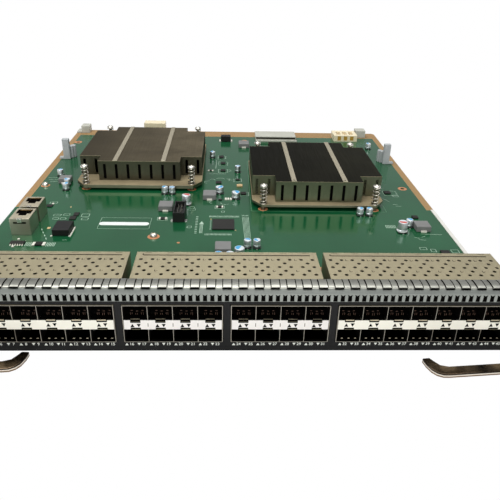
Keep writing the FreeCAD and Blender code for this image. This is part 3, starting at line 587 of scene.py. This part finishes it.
# ---- port cages
def cage_cover(name, members):
    low, high = corners("cage_%s_cover" % name)
    count = sum(GROUPS[i] for i in members)
    pitch = (high.x - low.x) / (count * 2)
    first_row, row_step, vent = 34.9, 4.83, 1.25
    holes = []
    for row in range(5):
        step, start = (1, pitch / 2) if row % 2 == 0 else (2, pitch)
        for k in range(count * 2 // step):
            holes.append(disc(low.x + start + pitch * step * k, first_row + row_step * row, vent))
    outline = [(low.x, low.y)]
    for left, right in zip(members, members[1:]):
        end, start = group_left(left) + PITCH * GROUPS[left], group_left(right)
        outline += [(end, low.y), (end, 1.5), (start, 1.5), (start, low.y)]
    outline += [(high.x, low.y), (high.x, high.y), (low.x, high.y)]
    sheet = Shape()
    sheet.add(*punched("cover", outline, holes, low.z, high.z))
    # folded back edge
    sheet.sweep([(high.y - 0.05, high.z), (high.y + 0.18, high.z - 0.12), (high.y + 0.3, high.z - 0.5),
            (high.y + 0.3, high.z - 3), (high.y, high.z - 3), (high.y, high.z - 0.4)], 0, low.x, high.x)
    sheet.piece("cage_%s_top" % name, "nickel", slot="nickel_sheet", stands_for=("cage_%s_cover" % name,))
    # painted shade seen through the vents, the back groove as painted shade lines and its lip as painted
    # highlight
    inside = Shape().block((low.x + 1.2, high.x - 1.2), (33.2, 56.4), (low.z - 0.12, low.z - 0.02))
    inside.piece("cage_%s_inside" % name, "painted_shade")
    groove = Shape()
    level = (high.z - 0.02, high.z + 0.03)
    groove.block((low.x + 4.6, high.x - 4.6), (high.y - 5, high.y - 4.05), level)
    groove.block((low.x + 3.9, low.x + 4.7), (high.y - 4.3, high.y - 2.6), level)
    for k in range(1, count):
        for x, y in ((low.x + pitch * 2 * k, 54.2), (low.x + pitch * 2 * k, 39.7)):
            groove.block((x - 0.9, x - 0.5), (y - 1.2, y + 0.9), level)
            groove.block((x - 0.5, x + 0.3), (y - 1.2, y - 0.8), level)
            groove.block((x + 0.6, x + 0.9), (y - 0.9, y - 0.1), level)
    for k in range(count):
        x = low.x + pitch * (2 * k + 1)
        groove.block(about(x, 2.2), (high.y - 1.35, high.y - 1.1), (high.z, high.z + 0.03))
    groove.piece("cage_%s_groove" % name, "shadow_line")
    lip = Shape()
    lip.block((low.x + 4.6, high.x - 4.6), (high.y - 4.05, high.y - 3.75), (high.z, high.z + 0.08))
    # painted highlights along the cover's side edges
    for side in ((low.x, low.x + 0.3), (high.x - 0.3, high.x)):
        lip.block(side, (5, high.y), (high.z, high.z + 0.1))
    lip.piece("cage_%s_rib" % name, "nickel_painted_highlight")


def bar_outline(low, high, left, count, notch, upper_cut, lower_cut):
    """A light bar's front, with a notch in both edges at the middle of every port column."""
    near, far = left + 0.5, left + PITCH * count - 0.5
    middles = [left + PITCH * (k + 0.5) for k in range(count)]
    edge = [(near, low)]
    for x in middles:
        a, b = about(x, notch / 2)
        edge += [(a, low), (a, low + lower_cut), (b, low + lower_cut), (b, low)]
    edge += [(far, low), (far, high)]
    for x in reversed(middles):
        a, b = about(x, notch / 2)
        edge += [(b, high), (b, high - upper_cut), (a, high - upper_cut), (a, high)]
    return edge + [(near, high)]


def light_bars():
    low, high = corners("light_bars")
    notch, deep, deep_inner = 5.8, 1.2, 1.7
    face = low.y - 0.12
    arrows, dashes, tabs, low_tabs, dark = (Shape() for _ in range(5))
    for index, count in enumerate(GROUPS):
        outer = index in OUTER_GROUPS
        edge = bar_outline(low.z, high.z, group_left(index), count, notch,
                deep if outer else deep_inner, deep)
        bar = Shape().sweep(edge, 1, face, high.y)
        bar.piece("light_bar_%d" % (index + 1), "bar_cream" if outer else "bar_white", slot="bar_white",
                stands_for=("light_bars",), bevel=0.12)
    # each port's floor on the bar and the notches are dark sheets of painted shade; a sprung tab stands in
    # the notch
    middle = (low.z + high.z) / 2
    for index, left, _ in columns():
        x = left + PITCH / 2
        outer = index in OUTER_GROUPS
        for side in (-1, 1):
            dark.block((x + side * notch / 2, x + side * (PITCH / 2 - 0.3)), (face + 0.2, high.y + 0.2),
                    (high.z + 0.01, high.z + 0.07))
        cut, over = (deep, 0.5) if outer else (deep_inner, 0.9)
        dark.block(about(x, notch / 2), (face - 0.02, high.y), (high.z - cut + 0.02, high.z + over))
        dark.block(about(x, notch / 2), (face + 0.02, high.y), (low.z + 0.05, low.z + deep - 0.02))
        tall, half = 1.15, 1.2
        level = middle if outer else middle - 0.45
        for at, tip in ((x - 1.8, tall), (x + 1.8, -tall)):
            arrows.sweep([(at - half, level - tip), (at + half, level - tip), (at, level + tip)],
                    1, face - 0.03, face + 0.05)
        if outer:
            tabs.block(about(x, 2.5), (face - 0.15, face + 0.6), (high.z - 0.15, high.z + 0.5))
        else:
            dashes.block(about(left + PITCH, 0.2), (face - 0.02, face + 0.05), about(middle, 1.2))
            tabs.block(about(x, 2.7), (face - 0.15, face), (high.z + 0.9, high.z + 1.05))
            low_tabs.block(about(x, 2.7), (face - 0.1, face), (high.z - 0.75, high.z - 0.6))
        low_tabs.block(about(x, 2.5), (face - 0.1, 4), (low.z - 0.1, low.z + 0.35))
    # dark sheets of painted shade on the board under the lower ports
    for index, count in enumerate(GROUPS):
        left = group_left(index)
        dark.block((left + 0.4, left + PITCH * count - 0.4), (-0.2, 12), (TOP + 0.32, TOP + 0.4))
    dark.piece("port_floors", "painted_shade")
    arrows.piece("bar_arrows", "ink_dark")
    # the bar slits and lower tabs take the darker copy of the tab metal, as painted shade
    dashes.piece("bar_slits", "tab_shaded")
    tabs.piece("latch_tabs_upper", "tab", bevel=0.08)
    low_tabs.piece("latch_tabs_lower", "tab_shaded", bevel=0.08)


def port_details():
    """Bright sheet edges round the ports, the contacts seen inside them and painted shade deep inside."""
    upper, lower, sockets, edges = Shape(), Shape(), Shape(), Shape()
    bar_low, bar_high = corners("light_bars")
    face = bar_low.y - 0.25
    floor, roof = 6.9, 31.9
    for index, left, _ in columns():
        for share, y in ((0.3, 4.6), (0.52, 4), (0.74, 4.6)):
            x = left + PITCH * share
            for side in (-0.7, 0.35):
                upper.block((x + side, x + side + 0.35), (y, y + 0.3), (bar_high.z + 0.3, bar_high.z + 1.9))
            upper.block(about(x, 0.6), (y + 1.8, y + 2.2), (bar_high.z + 1.9, bar_high.z + 2.3))
        if index in OUTER_GROUPS:
            for share in (0.28, 0.55, 0.82):
                x = left + PITCH * share
                lower.block(about(x, 0.6), (0.6, 0.9), (8.3, 8.75))
        # painted shade at the card slots deep in the ports
        for low in (9, 23.5):
            sockets.block((left + 2.2, left + PITCH - 2.2), (43, 44.1), (low, low + 5.4))
    for index, count in enumerate(GROUPS):
        left, right = group_left(index), group_left(index) + PITCH * count
        for k in range(1, count):
            x = left + PITCH * k
            for span in ((floor, bar_low.z), (bar_high.z, roof)):
                edges.block(about(x, 0.11), (face, face + 0.2), span)
        for x in (left + 0.15, right - 0.15):
            edges.block(about(x, 0.14), (face, face + 0.2), (floor, roof))
        edges.block((left, right), (face, face + 0.2), (roof - 0.28, roof - 0.05))
        edges.block((left, right), (face, face + 0.2), (floor - 0.1, floor + 0.08))
    upper.piece("port_springs_upper", "contact", bevel=0.1)
    lower.piece("port_springs_lower", "tab", bevel=0.1)
    sockets.piece("port_card_slots", "painted_shade")
    edges.piece("port_edges", "edge_bright")


def panel_markings():
    """Port figures and the up and down pointers under the windows."""
    marks = Shape()
    face = PANEL_LOW.y
    level = 4.85
    for index, left, number in columns():
        shift = (0.14, 0.08, 0.12, 0.20)[index]
        for half in (0, 1):
            x = left + PITCH * (shift + 0.5 * half)
            tip = 0.85 if half == 0 else -0.85
            marks.sweep([(x - 1, level - tip), (x + 1, level - tip), (x, level + tip)], 1,
                    face - 0.04, face + 0.02)
            text = written(str(number * 2 + half), 1.9)
            marks.add(text, Matrix.Translation((x + PITCH * 0.2, face - 0.02, level)) @ UPRIGHT)
    marks.piece("panel_markings", "ink_pale")


# ---- heat sinks
def end_fins(name):
    """Painted shade behind the slotted end fins, so that the slots read black, and painted highlight on the
    fins' rims.
    """
    low, high = corners("sink_%s_fins" % name)
    base = corners("sink_%s_base" % name)[1].z
    wide, deep, behind = 20.2, 15.2, 0.9
    level, rim = (base + 0.8, high.z - 1.4), (high.z - 0.35, high.z + 0.02)
    dark, edges = Shape(), Shape()
    for near, far, back, inset in ((low.x + wide, high.x - wide, 0, 0),
            (low.x, low.x + wide, deep, 0.4), (high.x - wide, high.x, deep, 0.4)):
        front, rear = low.y + back, high.y - back
        across = (near + inset, far - inset)
        dark.block(across, (front + behind, front + behind + 0.2), level)
        dark.block(across, (rear - behind - 0.2, rear - behind), level)
        edges.block((near, far), (front - 0.05, front + 0.2), rim)
        edges.block((near, far), (rear - 0.2, rear + 0.05), rim)
    dark.piece("sink_%s_slots" % name, "painted_shade")
    edges.piece("sink_%s_rims" % name, "fin_edge")


def sink(name, look):
    base_high = corners("sink_%s_base" % name)[1]
    softened("sink_%s_base" % name, "base", 0.35)
    softened("sink_%s_fins" % name, look, 0.14)
    softened("sink_%s_straps" % name, "strap", 0.15)
    end_fins(name)
    low, high = corners("sink_%s_screws" % name)
    springs, screws, shanks, rings = Shape(), Shape(), Shape(), Shape()
    # the axes lie a little inside the corners of the screws' box
    head, inset = high.z, 3.4 * 0.866
    for x in (low.x + inset, high.x - inset):
        for y in (low.y + inset, high.y - inset):
            springs.coil(x, y, 2.95, 0.42, base_high.z, head - 2.2, 6.5)
            shanks.turned(x, y, [(1.7, low.z), (1.7, head - 2.2)], 20)
            screws.turned(x, y, [(1.7, head - 2.3), (3.4, head - 2.2), (3.4, head - 1.5),
                    (3.1, head - 0.8), (2.4, head - 0.35), (1.3, head - 0.15), (1.1, head - 0.6)], 28)
            rings.ring(x, y, 2.1, 4.4, (TOP, TOP + 0.05))
    springs.piece("sink_%s_coils" % name, "spring", slot="bright_steel",
            stands_for=("sink_%s_springs" % name,), smooth=True)
    screws.piece("sink_%s_bolts" % name, "steel", slot="bright_steel",
            stands_for=("sink_%s_screws" % name,), smooth=True)
    shanks.piece("sink_%s_shanks" % name, "shank", smooth=True)
    rings.piece("sink_%s_rings" % name, "copper")


def strap_eyes():
    """Small pierced eyes at the front ends of the right sink's straps, the holes filled with painted shade.
    """
    holes, rims = Shape(), Shape()
    for low, high in islands("sink_right_straps"):
        x, y = mid_x(low, high), low.y + 2.2
        rims.ring(x, y, 0.9, 1.5, (high.z, high.z + 0.15))
        holes.turned(x, y, [(0.9, high.z), (0.9, high.z + 0.03)], 20)
    rims.piece("strap_eye_rims", "strap")
    holes.piece("strap_eye_holes", "painted_shade")


# ---- parts on the board
def cans():
    """Round aluminium cans with a crimped waist, a coloured segment and two terminals."""
    shells, tops, blue, red, ends, skirts = (Shape() for _ in range(6))
    for number, (low, high) in enumerate(islands("capacitor_cans")):
        x, y, r = mid_x(low, high), (low.y + high.y) / 2, (high.x - low.x) / 2
        tall = high.z - low.z > 7
        shells.turned(x, y, [(r * 0.9, low.z), (r, low.z + 0.4), (r, low.z + 1.4), (r - 0.35, low.z + 1.75),
                (r, low.z + 2.1), (r, high.z - 0.4), (r - 0.12, high.z - 0.1), (r - 0.4, high.z)])
        tops.turned(x, y, [(r - 0.5, high.z - 0.05), (r - 0.5, high.z + 0.02)])
        turn = 90 + number * 137
        arc = [math.radians(turn + a) for a in range(-96, 97, 12)]
        rim = r - 0.75
        segment = [(x + rim * math.cos(a), y + rim * math.sin(a)) for a in arc]
        (red if tall else blue).sweep(segment, 2, high.z, high.z + 0.05)
        for side in (-1, 1):
            ends.block(about(x, 0.6), (y + side * (r - 0.4), y + side * (r + 1.1)), (TOP, TOP + 0.35))
        if tall:
            skirts.ring(x, y, r - 0.2, r + 0.45, (low.z + 0.05, low.z + 0.75))
    shells.piece("can_shells", "can", slot="can_silver", stands_for=("capacitor_cans",), smooth=True)
    tops.piece("can_tops", "can_top")
    blue.piece("can_segments_blue", "can_blue")
    red.piece("can_segments_red", "can_red")
    ends.piece("can_terminals", "solder")
    skirts.piece("can_skirts", "label")
    softened("capacitor_feet", "foot", 0.5)


def inductors():
    softened("power_inductors", "coil", 0.7, segments=3)
    pads = Shape()
    for low, high in islands("power_inductors"):
        x = mid_x(low, high)
        pads.block(about(x, 2.4), (low.y - 1.3, low.y + 0.2), (TOP, TOP + 1.6))
        pads.block(about(x, 2), (high.y - 0.2, high.y + 1.3), (TOP, TOP + 0.8))
    pads.piece("inductor_ends", "solder_white", bevel=0.2)


def jacks():
    """Metal tops painted lighter as highlight, stepped openings over painted shade, a slot and a sprung tab
    on the front.
    """
    tops, slots, tabs, glints = Shape(), Shape(), Shape(), Shape()
    for low, high in islands("jack_shells"):
        middle = mid_x(low, high)
        back = high.y - 2
        step, front = back - 8.2, back - 11.8
        # painted shade under the top, seen through the opening
        slots.block((low.x + 1.2, high.x - 1.2), (low.y + 1.2, high.y - 1.2),
                (high.z - 0.42, high.z - 0.34))
        hole = [(middle - 3.1, front), (middle + 3.1, front), (middle + 3.1, step), (middle + 5.9, step),
                (middle + 5.9, back), (middle - 5.9, back), (middle - 5.9, step), (middle - 3.1, step)]
        tops.add(*punched("jack_top", frame_of((low.x + 0.4, high.x - 0.4), (low.y + 0.4, high.y - 0.4)),
                [hole], high.z - 0.3, high.z))
        # the slot on the front and a line on the top, in painted shade
        slots.block(about(middle, 5), (low.y - 0.03, low.y + 0.1), (high.z - 4.2, high.z - 2.7))
        slots.block((middle - 4.4, middle + 2.2), (low.y + 0.8, low.y + 1.2),
                (high.z - 0.02, high.z + 0.02))
        tabs.block(about(middle, 1.8), (low.y - 0.35, low.y - 0.05), (high.z - 3.3, high.z))
        tabs.block(about(middle, 1.8), (low.y - 0.35, low.y + 1.4), (high.z, high.z + 0.25))
        for k in range(8):
            glints.block((middle - 4 + k * 1.1, middle - 3.6 + k * 1.1), (back - 1.6, back - 0.2),
                    (high.z - 0.34, high.z - 0.3))
    tops.piece("jack_tops", "jack_top")
    slots.piece("jack_slots", "painted_shade")
    tabs.piece("jack_tabs", "steel", bevel=0.1)
    glints.piece("jack_contacts", "gold")
    softened("jack_shells", "jack", 0.25)


def modules():
    """The moulded converters with their solder rails."""
    softened("power_modules", "module", 0.5)
    rails = Shape()
    for low, high in islands("power_modules"):
        if high.y < 300:
            rails.block((high.x + 0.3, high.x + 1.5), (low.y + 0.6, high.y - 2), (TOP, TOP + 0.7))
            rails.block((low.x - 1.4, low.x + 0.2), (low.y - 1.2, low.y + 0.6), (TOP, TOP + 0.5))
            rails.block((high.x - 0.4, high.x + 1.4), (low.y - 1.2, low.y + 0.4), (TOP, TOP + 0.5))
        else:
            for near, far in ((low.x - 2, low.x - 0.3), (high.x + 0.3, high.x + 2)):
                rails.block((near, far), (low.y + 0.5, high.y - 0.5), (TOP, TOP + 0.9))
    rails.piece("module_rails", "solder_white", bevel=0.15)


def chips():
    """Moulded chips, the small-outline one with legs."""
    softened("small_chips", "chip", 0.15)
    legs = Shape()
    low, high = islands("small_chips")[0]
    for k in range(6):
        x = low.x + (high.x - low.x) * (k + 0.5) / 6
        for y, way in ((low.y, -1), (high.y, 1)):
            legs.block(about(x, 0.4), (y, y + way * 1.9), (TOP, TOP + 0.3))
            legs.block(about(x, 0.4), (y, y + way * 0.7), (TOP + 0.3, TOP + 0.8))
    legs.piece("chip_legs", "solder_white")


def spot_block(x, y, wide, deep, rise=0.9):
    """A small block on the board, from its front left corner."""
    return (x, x + wide), (y, y + deep), (TOP, TOP + rise)


def small_parts():
    dark, ends, tan = Shape(), Shape(), Shape()
    for spot in ((-131, 176, 4.4, 6.2), (-132.6, 168, 5.2, 6.6), (-159.4, 194, 5.8, 5),
            (-8.6, 213, 3.6, 2.6), (8, 264.8, 4, 3.2), (-8.5, 195.9, 3.3, 3.6),
            (-56.6, 169.9, 3.8, 3.6), (-18.6, 291.2, 2.2, 2.4), (-7.6, 338, 3, 3)):
        dark.block(*spot_block(*spot))
    for spot in ((-9.9, 196, 1.4, 3.4), (-5.2, 196, 1.4, 3.4), (-58.1, 170, 1.5, 3.4),
            (-52.8, 170, 1.5, 3.4), (-20.4, 291.3, 1.8, 2.2), (-16.4, 291.3, 1.8, 2.2),
            (-149.1, 120.2, 2.1, 5.2), (-141.4, 120.2, 2.1, 5.2), (-2.4, 213.8, 1.7, 4.2),
            (-0.1, 213.8, 1.7, 4.2), (2.2, 213.8, 1.7, 4.2), (-163.3, 117.4, 1.6, 1.8),
            (-162.8, 130, 1.6, 1.8), (-155.2, 199.8, 1.6, 2.6)):
        ends.block(*spot_block(*spot))
    tan.block(*spot_block(8.95, 246.95, 5.5, 4.7, 1.5))
    for spot in ((-146, 150.4, 2.6, 3.2), (6.2, 149.4, 1.1, 1), (-14.4, 171, 1.1, 1),
            (-138, 194.2, 1.2, 1.6)):
        tan.block(*spot_block(*spot, 0.3))
    dark.piece("small_parts", "chip", bevel=0.12)
    ends.piece("small_part_ends", "solder_white", bevel=0.12)
    tan.piece("small_parts_tan", "tan", bevel=0.15)


def header():
    softened("header_socket", "module", 0.3)
    low, high = corners("header_socket")
    pins, pads = Shape(), Shape()
    middle = mid_x(low, high)
    for k in range(9):
        y = low.y + 3.4 + 2.4 * k
        for x in about(middle, 1.3):
            pins.block(about(x, 0.3), about(y, 0.3), (high.z - 4.5, high.z - 1.5))
    for near, far in ((low.x - 1.9, low.x - 0.1), (high.x + 0.1, high.x + 1.9)):
        pads.block((near, far), (low.y + 1, low.y + 5.4), (TOP, TOP + 0.6))
    pins.piece("header_pins", "steel")
    pads.piece("header_pads", "solder", bevel=0.15)


def rear_connectors():
    for node, look, bevel, slot in (
            ("backplane_connector", "grey", 0.3, "connector_grey"),
            ("power_connector", "cream", 0.3, "connector_cream"),
            ("rear_header", "cream", 0.3, "connector_cream"),
            ("guide_blocks", "grey", 0.4, "connector_grey"),
            ("edge_post_left", "post", 0.5, "post_grey"),
            ("edge_post_right", "post", 0.5, "post_grey")):
        softened(node, look, bevel)
    low, high = corners("backplane_connector")
    groove, ledge = Shape(), Shape()
    groove.block((low.x + 0.8, high.x - 0.8), (low.y - 0.04, low.y + 0.2), (high.z - 3, high.z - 1))
    ledge.block((low.x + 0.4, high.x + 1.2), (low.y - 2.4, low.y), (TOP, TOP + 1.6))
    groove.piece("backplane_grooves", "shadow_line")
    ledge.piece("backplane_ledge", "grey", bevel=0.2)
    low, high = corners("power_connector")
    blades = Shape()
    middle = mid_x(low, high)
    for k in (-1, 0, 1):
        x = middle + 7.6 * k
        blades.block(about(x, 2.1), (low.y - 0.1, low.y + 0.2), (TOP + 1.6, high.z - 1))
        blades.block(about(x, 1.9), (low.y + 5.6, low.y + 16.4), (high.z - 3.5, high.z - 3.2))
    blades.piece("power_blades", "blade")


class Marks(Shape):
    """Thin printed marks on the board's top side."""

    def stroke(self, x0, y0, x1, y1, wide=0.35):
        side = Vector((y0 - y1, x1 - x0)).normalized() * wide / 2
        self.sweep([(x0 + side.x, y0 + side.y), (x0 - side.x, y0 - side.y), (x1 - side.x, y1 - side.y),
                (x1 + side.x, y1 + side.y)], 2, TOP, TOP + 0.03)
        return self

    def outline(self, x, y, wide, deep, line=0.35):
        for x0, y0, x1, y1 in ((x, y, x + wide, y), (x, y + deep, x + wide, y + deep), (x, y, x, y + deep),
                (x + wide, y, x + wide, y + deep)):
            self.stroke(x0, y0, x1, y1, line)
        return self

    def ticks(self, x, y, count, step, length, line=0.4):
        for k in range(count):
            self.stroke(x + step * k, y, x + step * k, y + length, line)
        return self

    def arc(self, x, y, radius, start, stop):
        spots = [(x + radius * math.cos(math.radians(a)), y + radius * math.sin(math.radians(a)))
                for a in range(start, stop + 1, 20)]
        for (x0, y0), (x1, y1) in zip(spots, spots[1:]):
            self.stroke(x0, y0, x1, y1)
        return self


def silkscreen():
    marks = Marks()
    # round the large chip in the middle: rows of ticks, an arrow with its bars, a column of dashes
    marks.ticks(-15.4, 175.8, 25, 1.05, 3.4).ticks(-18, 140.8, 21, 1.05, 3.2)
    for k in range(14):
        marks.stroke(-14.6, 151.6 + 1.35 * k, -13.4, 151.6 + 1.35 * k)
    marks.sweep([(-23.6, 161.6), (-19.6, 161.6), (-21.6, 167.4)], 2, TOP, TOP + 0.03)
    marks.ticks(-22.6, 144.4, 3, 1, 16.6)
    for k in range(11):
        marks.stroke(-26.8, 144.6 + 3.2 * k, -24.9, 144.6 + 3.2 * k, 0.9)
    marks.outline(-33.2, 154.2, 3.4, 3.6)
    for k in range(6):
        marks.stroke(12.8 + 1.05 * k, 176.6, 13.9 + 0.92 * k, 136, 0.3)
    marks.ticks(12.8, 178.6, 5, 1.2, 2.4)
    # frame round the label, and the stripes on both sides of the small part near the left edge
    marks.outline(-106, 151.6, 41.8, 21.6, 0.24)
    marks.ticks(-154.4, 119.8, 5, 1.2, 6.4, 0.5).ticks(-138.4, 119.8, 6, 1.2, 6.4, 0.5)
    # outlines of parts
    for spot in ((-146.5, 169, 4.6, 3.4), (-140.4, 169.2, 4.6, 3.2), (-147.6, 176, 6, 3.6),
            (-139.6, 177.4, 5.2, 3.2), (-122.6, 168.4, 5.4, 4.2), (-124.2, 175.4, 6.4, 5.2),
            (-10.7, 331, 8.4, 10.4), (-9.6, 310.4, 9.6, 10.4), (-9.4, 287.6, 9.4, 10.2),
            (-59.2, 168.8, 8.4, 5.8), (-11, 194.6, 8.2, 6.2), (-5.2, 186.4, 2.6, 2.8),
            (156.8, 226, 5.2, 4.2), (149.6, 229.4, 12.4, 11.4), (150.6, 117.6, 5.2, 4),
            (158.4, 114.2, 3.8, 4.4), (174.2, 112.8, 5.6, 5), (-158, 203, 6.4, 3.4),
            (-34.6, 190.6, 6.4, 3), (6.2, 261.8, 7.6, 8), (9.4, 225, 10.4, 9)):
        marks.outline(*spot)
    # loose strokes and curves near the parts
    for x0, y0, x1, y1 in ((-128.6, 130.6, -125.2, 130.9), (-175, 262, -170.6, 262.2),
            (-169.4, 262, -165, 262.4), (-177, 267.4, -168, 268),
            (-172.4, 256.8, -165.4, 257.2), (-12.4, 300, -12, 326),
            (-21, 283.6, -2, 283.8), (162.6, 145.2, 176.4, 144.8),
            (146.2, 254, 151.4, 251.6), (147, 248.6, 152, 246.4),
            (151.6, 207.6, 155.6, 206.6), (153.4, 203.6, 158.2, 203.2),
            (152, 139.4, 156, 137.8), (154.4, 135.4, 160, 134.2),
            (158, 139.8, 161.4, 141.4), (144.6, 224, 150, 214)):
        marks.stroke(x0, y0, x1, y1)
    for k in range(4):
        marks.stroke(-150.2 + 2.6 * k, 150.6 - 5.4 * k, -148.8 + 2.6 * k, 147.6 - 5.4 * k, 0.7)
    marks.ticks(133.6, 156.4, 7, 1.3, 6, 0.5)
    for x, y, r, start, stop in ((-19.4, 259.6, 3.4, 60, 260), (-15, 265.6, 2.6, 0, 160),
            (-7.4, 267.4, 4.4, 10, 150), (-0.6, 266.4, 3, -60, 100), (3.6, 268.8, 2.4, 120, 300),
            (-13, 209, 3.2, 90, 260),
            (-2, 208, 4.2, 180, 320), (4.6, 206.4, 2.4, -90, 90), (0.6, 294, 2.8, -80, 80),
            (-31.6, 196, 2.6, -60, 180)):
        marks.arc(x, y, r, start, stop)
    marks.piece("silkscreen", "silk")
    # thin frame printed round the right heat sink
    low, high = corners("sink_right_base")
    ring = Marks().outline(low.x - 0.9, low.y - 1.6, high.x - low.x + 1.8, high.y - low.y + 3.2, 0.3)
    ring.piece("sink_frame_print", "silk_faint")
    label, left, right, y, r = Shape(), -106.2, -65, 161.4, 3.1
    turns = [math.radians(a) for a in range(-90, 91, 15)]
    label.sweep([(right - r + r * math.cos(a), y + r * math.sin(a)) for a in turns]
            + [(left + r - r * math.cos(a), y - r * math.sin(a)) for a in turns], 2, TOP, TOP + 0.12)
    label.piece("board_label", "label", bevel=0.05)


def board_hardware():
    """Copper lands round the holes and the two bright screws."""
    lands, screws = Shape(), Shape()
    for x, y, inner, outer in ((-175, 386, 2, 4.4), (171.2, 247, 2, 4.4),
            (-173.8, 246.3, 0.6, 4.2),
            (-58.6, 137.6, 0.6, 4.8), (19.9, 399, 1.6, 4.4), (68.9, 86.5, 0.8, 2.6),
            (-38.2, 127.1, 0.3, 1.3)):
        lands.ring(x, y, inner, outer, (TOP, TOP + 0.05))
    for x, y in ((-173.8, 246.3), (-58.6, 137.6)):
        screws.turned(x, y, [(3, TOP), (3, TOP + 1.2), (2.8, TOP + 2), (2.1, TOP + 2.8),
                (1.3, TOP + 3), (1.1, TOP + 2.4)], 28)
    lands.piece("copper_lands", "copper")
    screws.piece("board_bolts", "steel", smooth=True)


def plain_parts():
    """CAD pieces kept in their own form with broken edges."""
    softened("front_panel", "panel", 0.2)
    for side in ("left", "right"):
        softened("lever_" + side, "lever", 0.4, side + "_lever", 3)


# ---- floor, light, camera
def white_to_camera(tree, lit, white, output):
    """The camera sees plain white where all other rays meet the lit shader."""
    choose = tree.nodes.new("ShaderNodeMixShader")
    ray = tree.nodes.new("ShaderNodeLightPath").outputs["Is Camera Ray"]
    for source, socket in zip((ray, lit.outputs[0], white.outputs[0]), choose.inputs):
        tree.links.new(source, socket)
    tree.links.new(choose.outputs[0], output.inputs["Surface"])


def studio():
    scene = bpy.context.scene
    scene.view_settings.view_transform = "Standard"
    floor = Shape().block((-4000, 4000), (-4000, 4000), (-1.2, -0.2))
    floor.mesh.transform(Matrix.Scale(MM, 4))
    data = bpy.data.meshes.new("floor")
    floor.mesh.to_mesh(data)
    obj = bpy.data.objects.new("floor", data)
    scene.collection.objects.link(obj)
    look = Look("floor_white")
    look.set(Base_Color=(0.86, 0.86, 0.86, 1), Roughness=0.8)
    glow = look.add("Emission", Color=(1, 1, 1, 1), Strength=1.0)
    white_to_camera(look.tree, look.surface, glow, look.tree.nodes["Material Output"])
    data.materials.append(look.material)

    world = bpy.data.worlds.new("studio")
    scene.world = world
    world.use_nodes = True
    tree = world.node_tree
    back = tree.nodes["Background"]
    white = tree.nodes.new("ShaderNodeBackground")
    white.inputs["Color"].default_value = (1, 1, 1, 1)
    white.inputs["Strength"].default_value = 1.0
    back.inputs["Color"].default_value = (0.96, 0.97, 1.0, 1)
    back.inputs["Strength"].default_value = 0.42
    white_to_camera(tree, back, white, tree.nodes["World Output"])

    for name, place, aim, wide, deep, power in (
            ("key", (-0.35, 0.15, 1.25), (0, 0.2, 0), 1.1, 0.8, 13.0),
            ("front", (0.1, -1.3, 0.7), (0, 0.1, 0), 1.6, 0.7, 11.0),
            ("back", (0.3, 0.8, 1.4), (0, 0.2, 0), 1.2, 0.5, 7.0)):
        light = bpy.data.lights.new(name, "AREA")
        light.shape = "RECTANGLE"
        light.size, light.size_y, light.energy = wide, deep, power
        lamp = bpy.data.objects.new(name, light)
        lamp.location = place
        lamp.rotation_euler = (Vector(aim) - Vector(place)).to_track_quat("-Z", "Y").to_euler()
        scene.collection.objects.link(lamp)


def camera():
    lens = bpy.data.cameras.new("camera")
    lens.lens = 41.2
    lens.sensor_width = 36
    lens.clip_start = 0.01
    view = bpy.data.objects.new("camera", lens)
    right = Vector((0.99919, -0.03274, 0.02349))
    up = Vector((-0.00565, 0.46325, 0.88621))
    ahead = Vector((0.03989, 0.88562, -0.46269))
    turn = Matrix((right, up, -ahead)).transposed().to_4x4()
    view.matrix_world = Matrix.Translation(Vector((-0.063, -272.838, 209.818)) * MM) @ turn
    bpy.context.scene.collection.objects.link(view)
    bpy.context.scene.camera = view


# ---- everything in place
def paint(look, *nodes):
    for node in nodes:
        mesh = NODES[node].data
        mesh.materials.clear()
        mesh.materials.append(M[look])


paint("panel", "lever_brackets")
paint("board", "circuit_board")
for cage in ("left", "middle", "right"):
    M["wall_" + cage] = cage_wall_look(cage)
    paint("wall_" + cage, *["cage_%s_%s" % (cage, part) for part in ("walls", "rear", "floor")])
# the port separators are painted black as shade inside the ports; the sockets are black plastic
paint("port_dark", "port_separators", "port_sockets")
paint("socket", "jack_inserts")
paint("zinc", "stiffener_left", "stiffener_right", "board_spacers", "board_screws", "pivot_pins")
paint("pad", "thermal_pad_left", "thermal_pad_right")
paint("chip", "switch_chip_left", "switch_chip_right")
paint("pale", "board_edge_strip")
plain_parts()
contact_strip()
for cage, members in (("left", [0]), ("middle", [1, 2]), ("right", [3])):
    cage_cover(cage, members)
light_bars()
port_details()
panel_markings()
sink("left", "fins_left")
sink("right", "fins_right")
strap_eyes()
cans()
inductors()
jacks()
modules()
chips()
small_parts()
header()
rear_connectors()
silkscreen()
board_hardware()
studio()
camera()
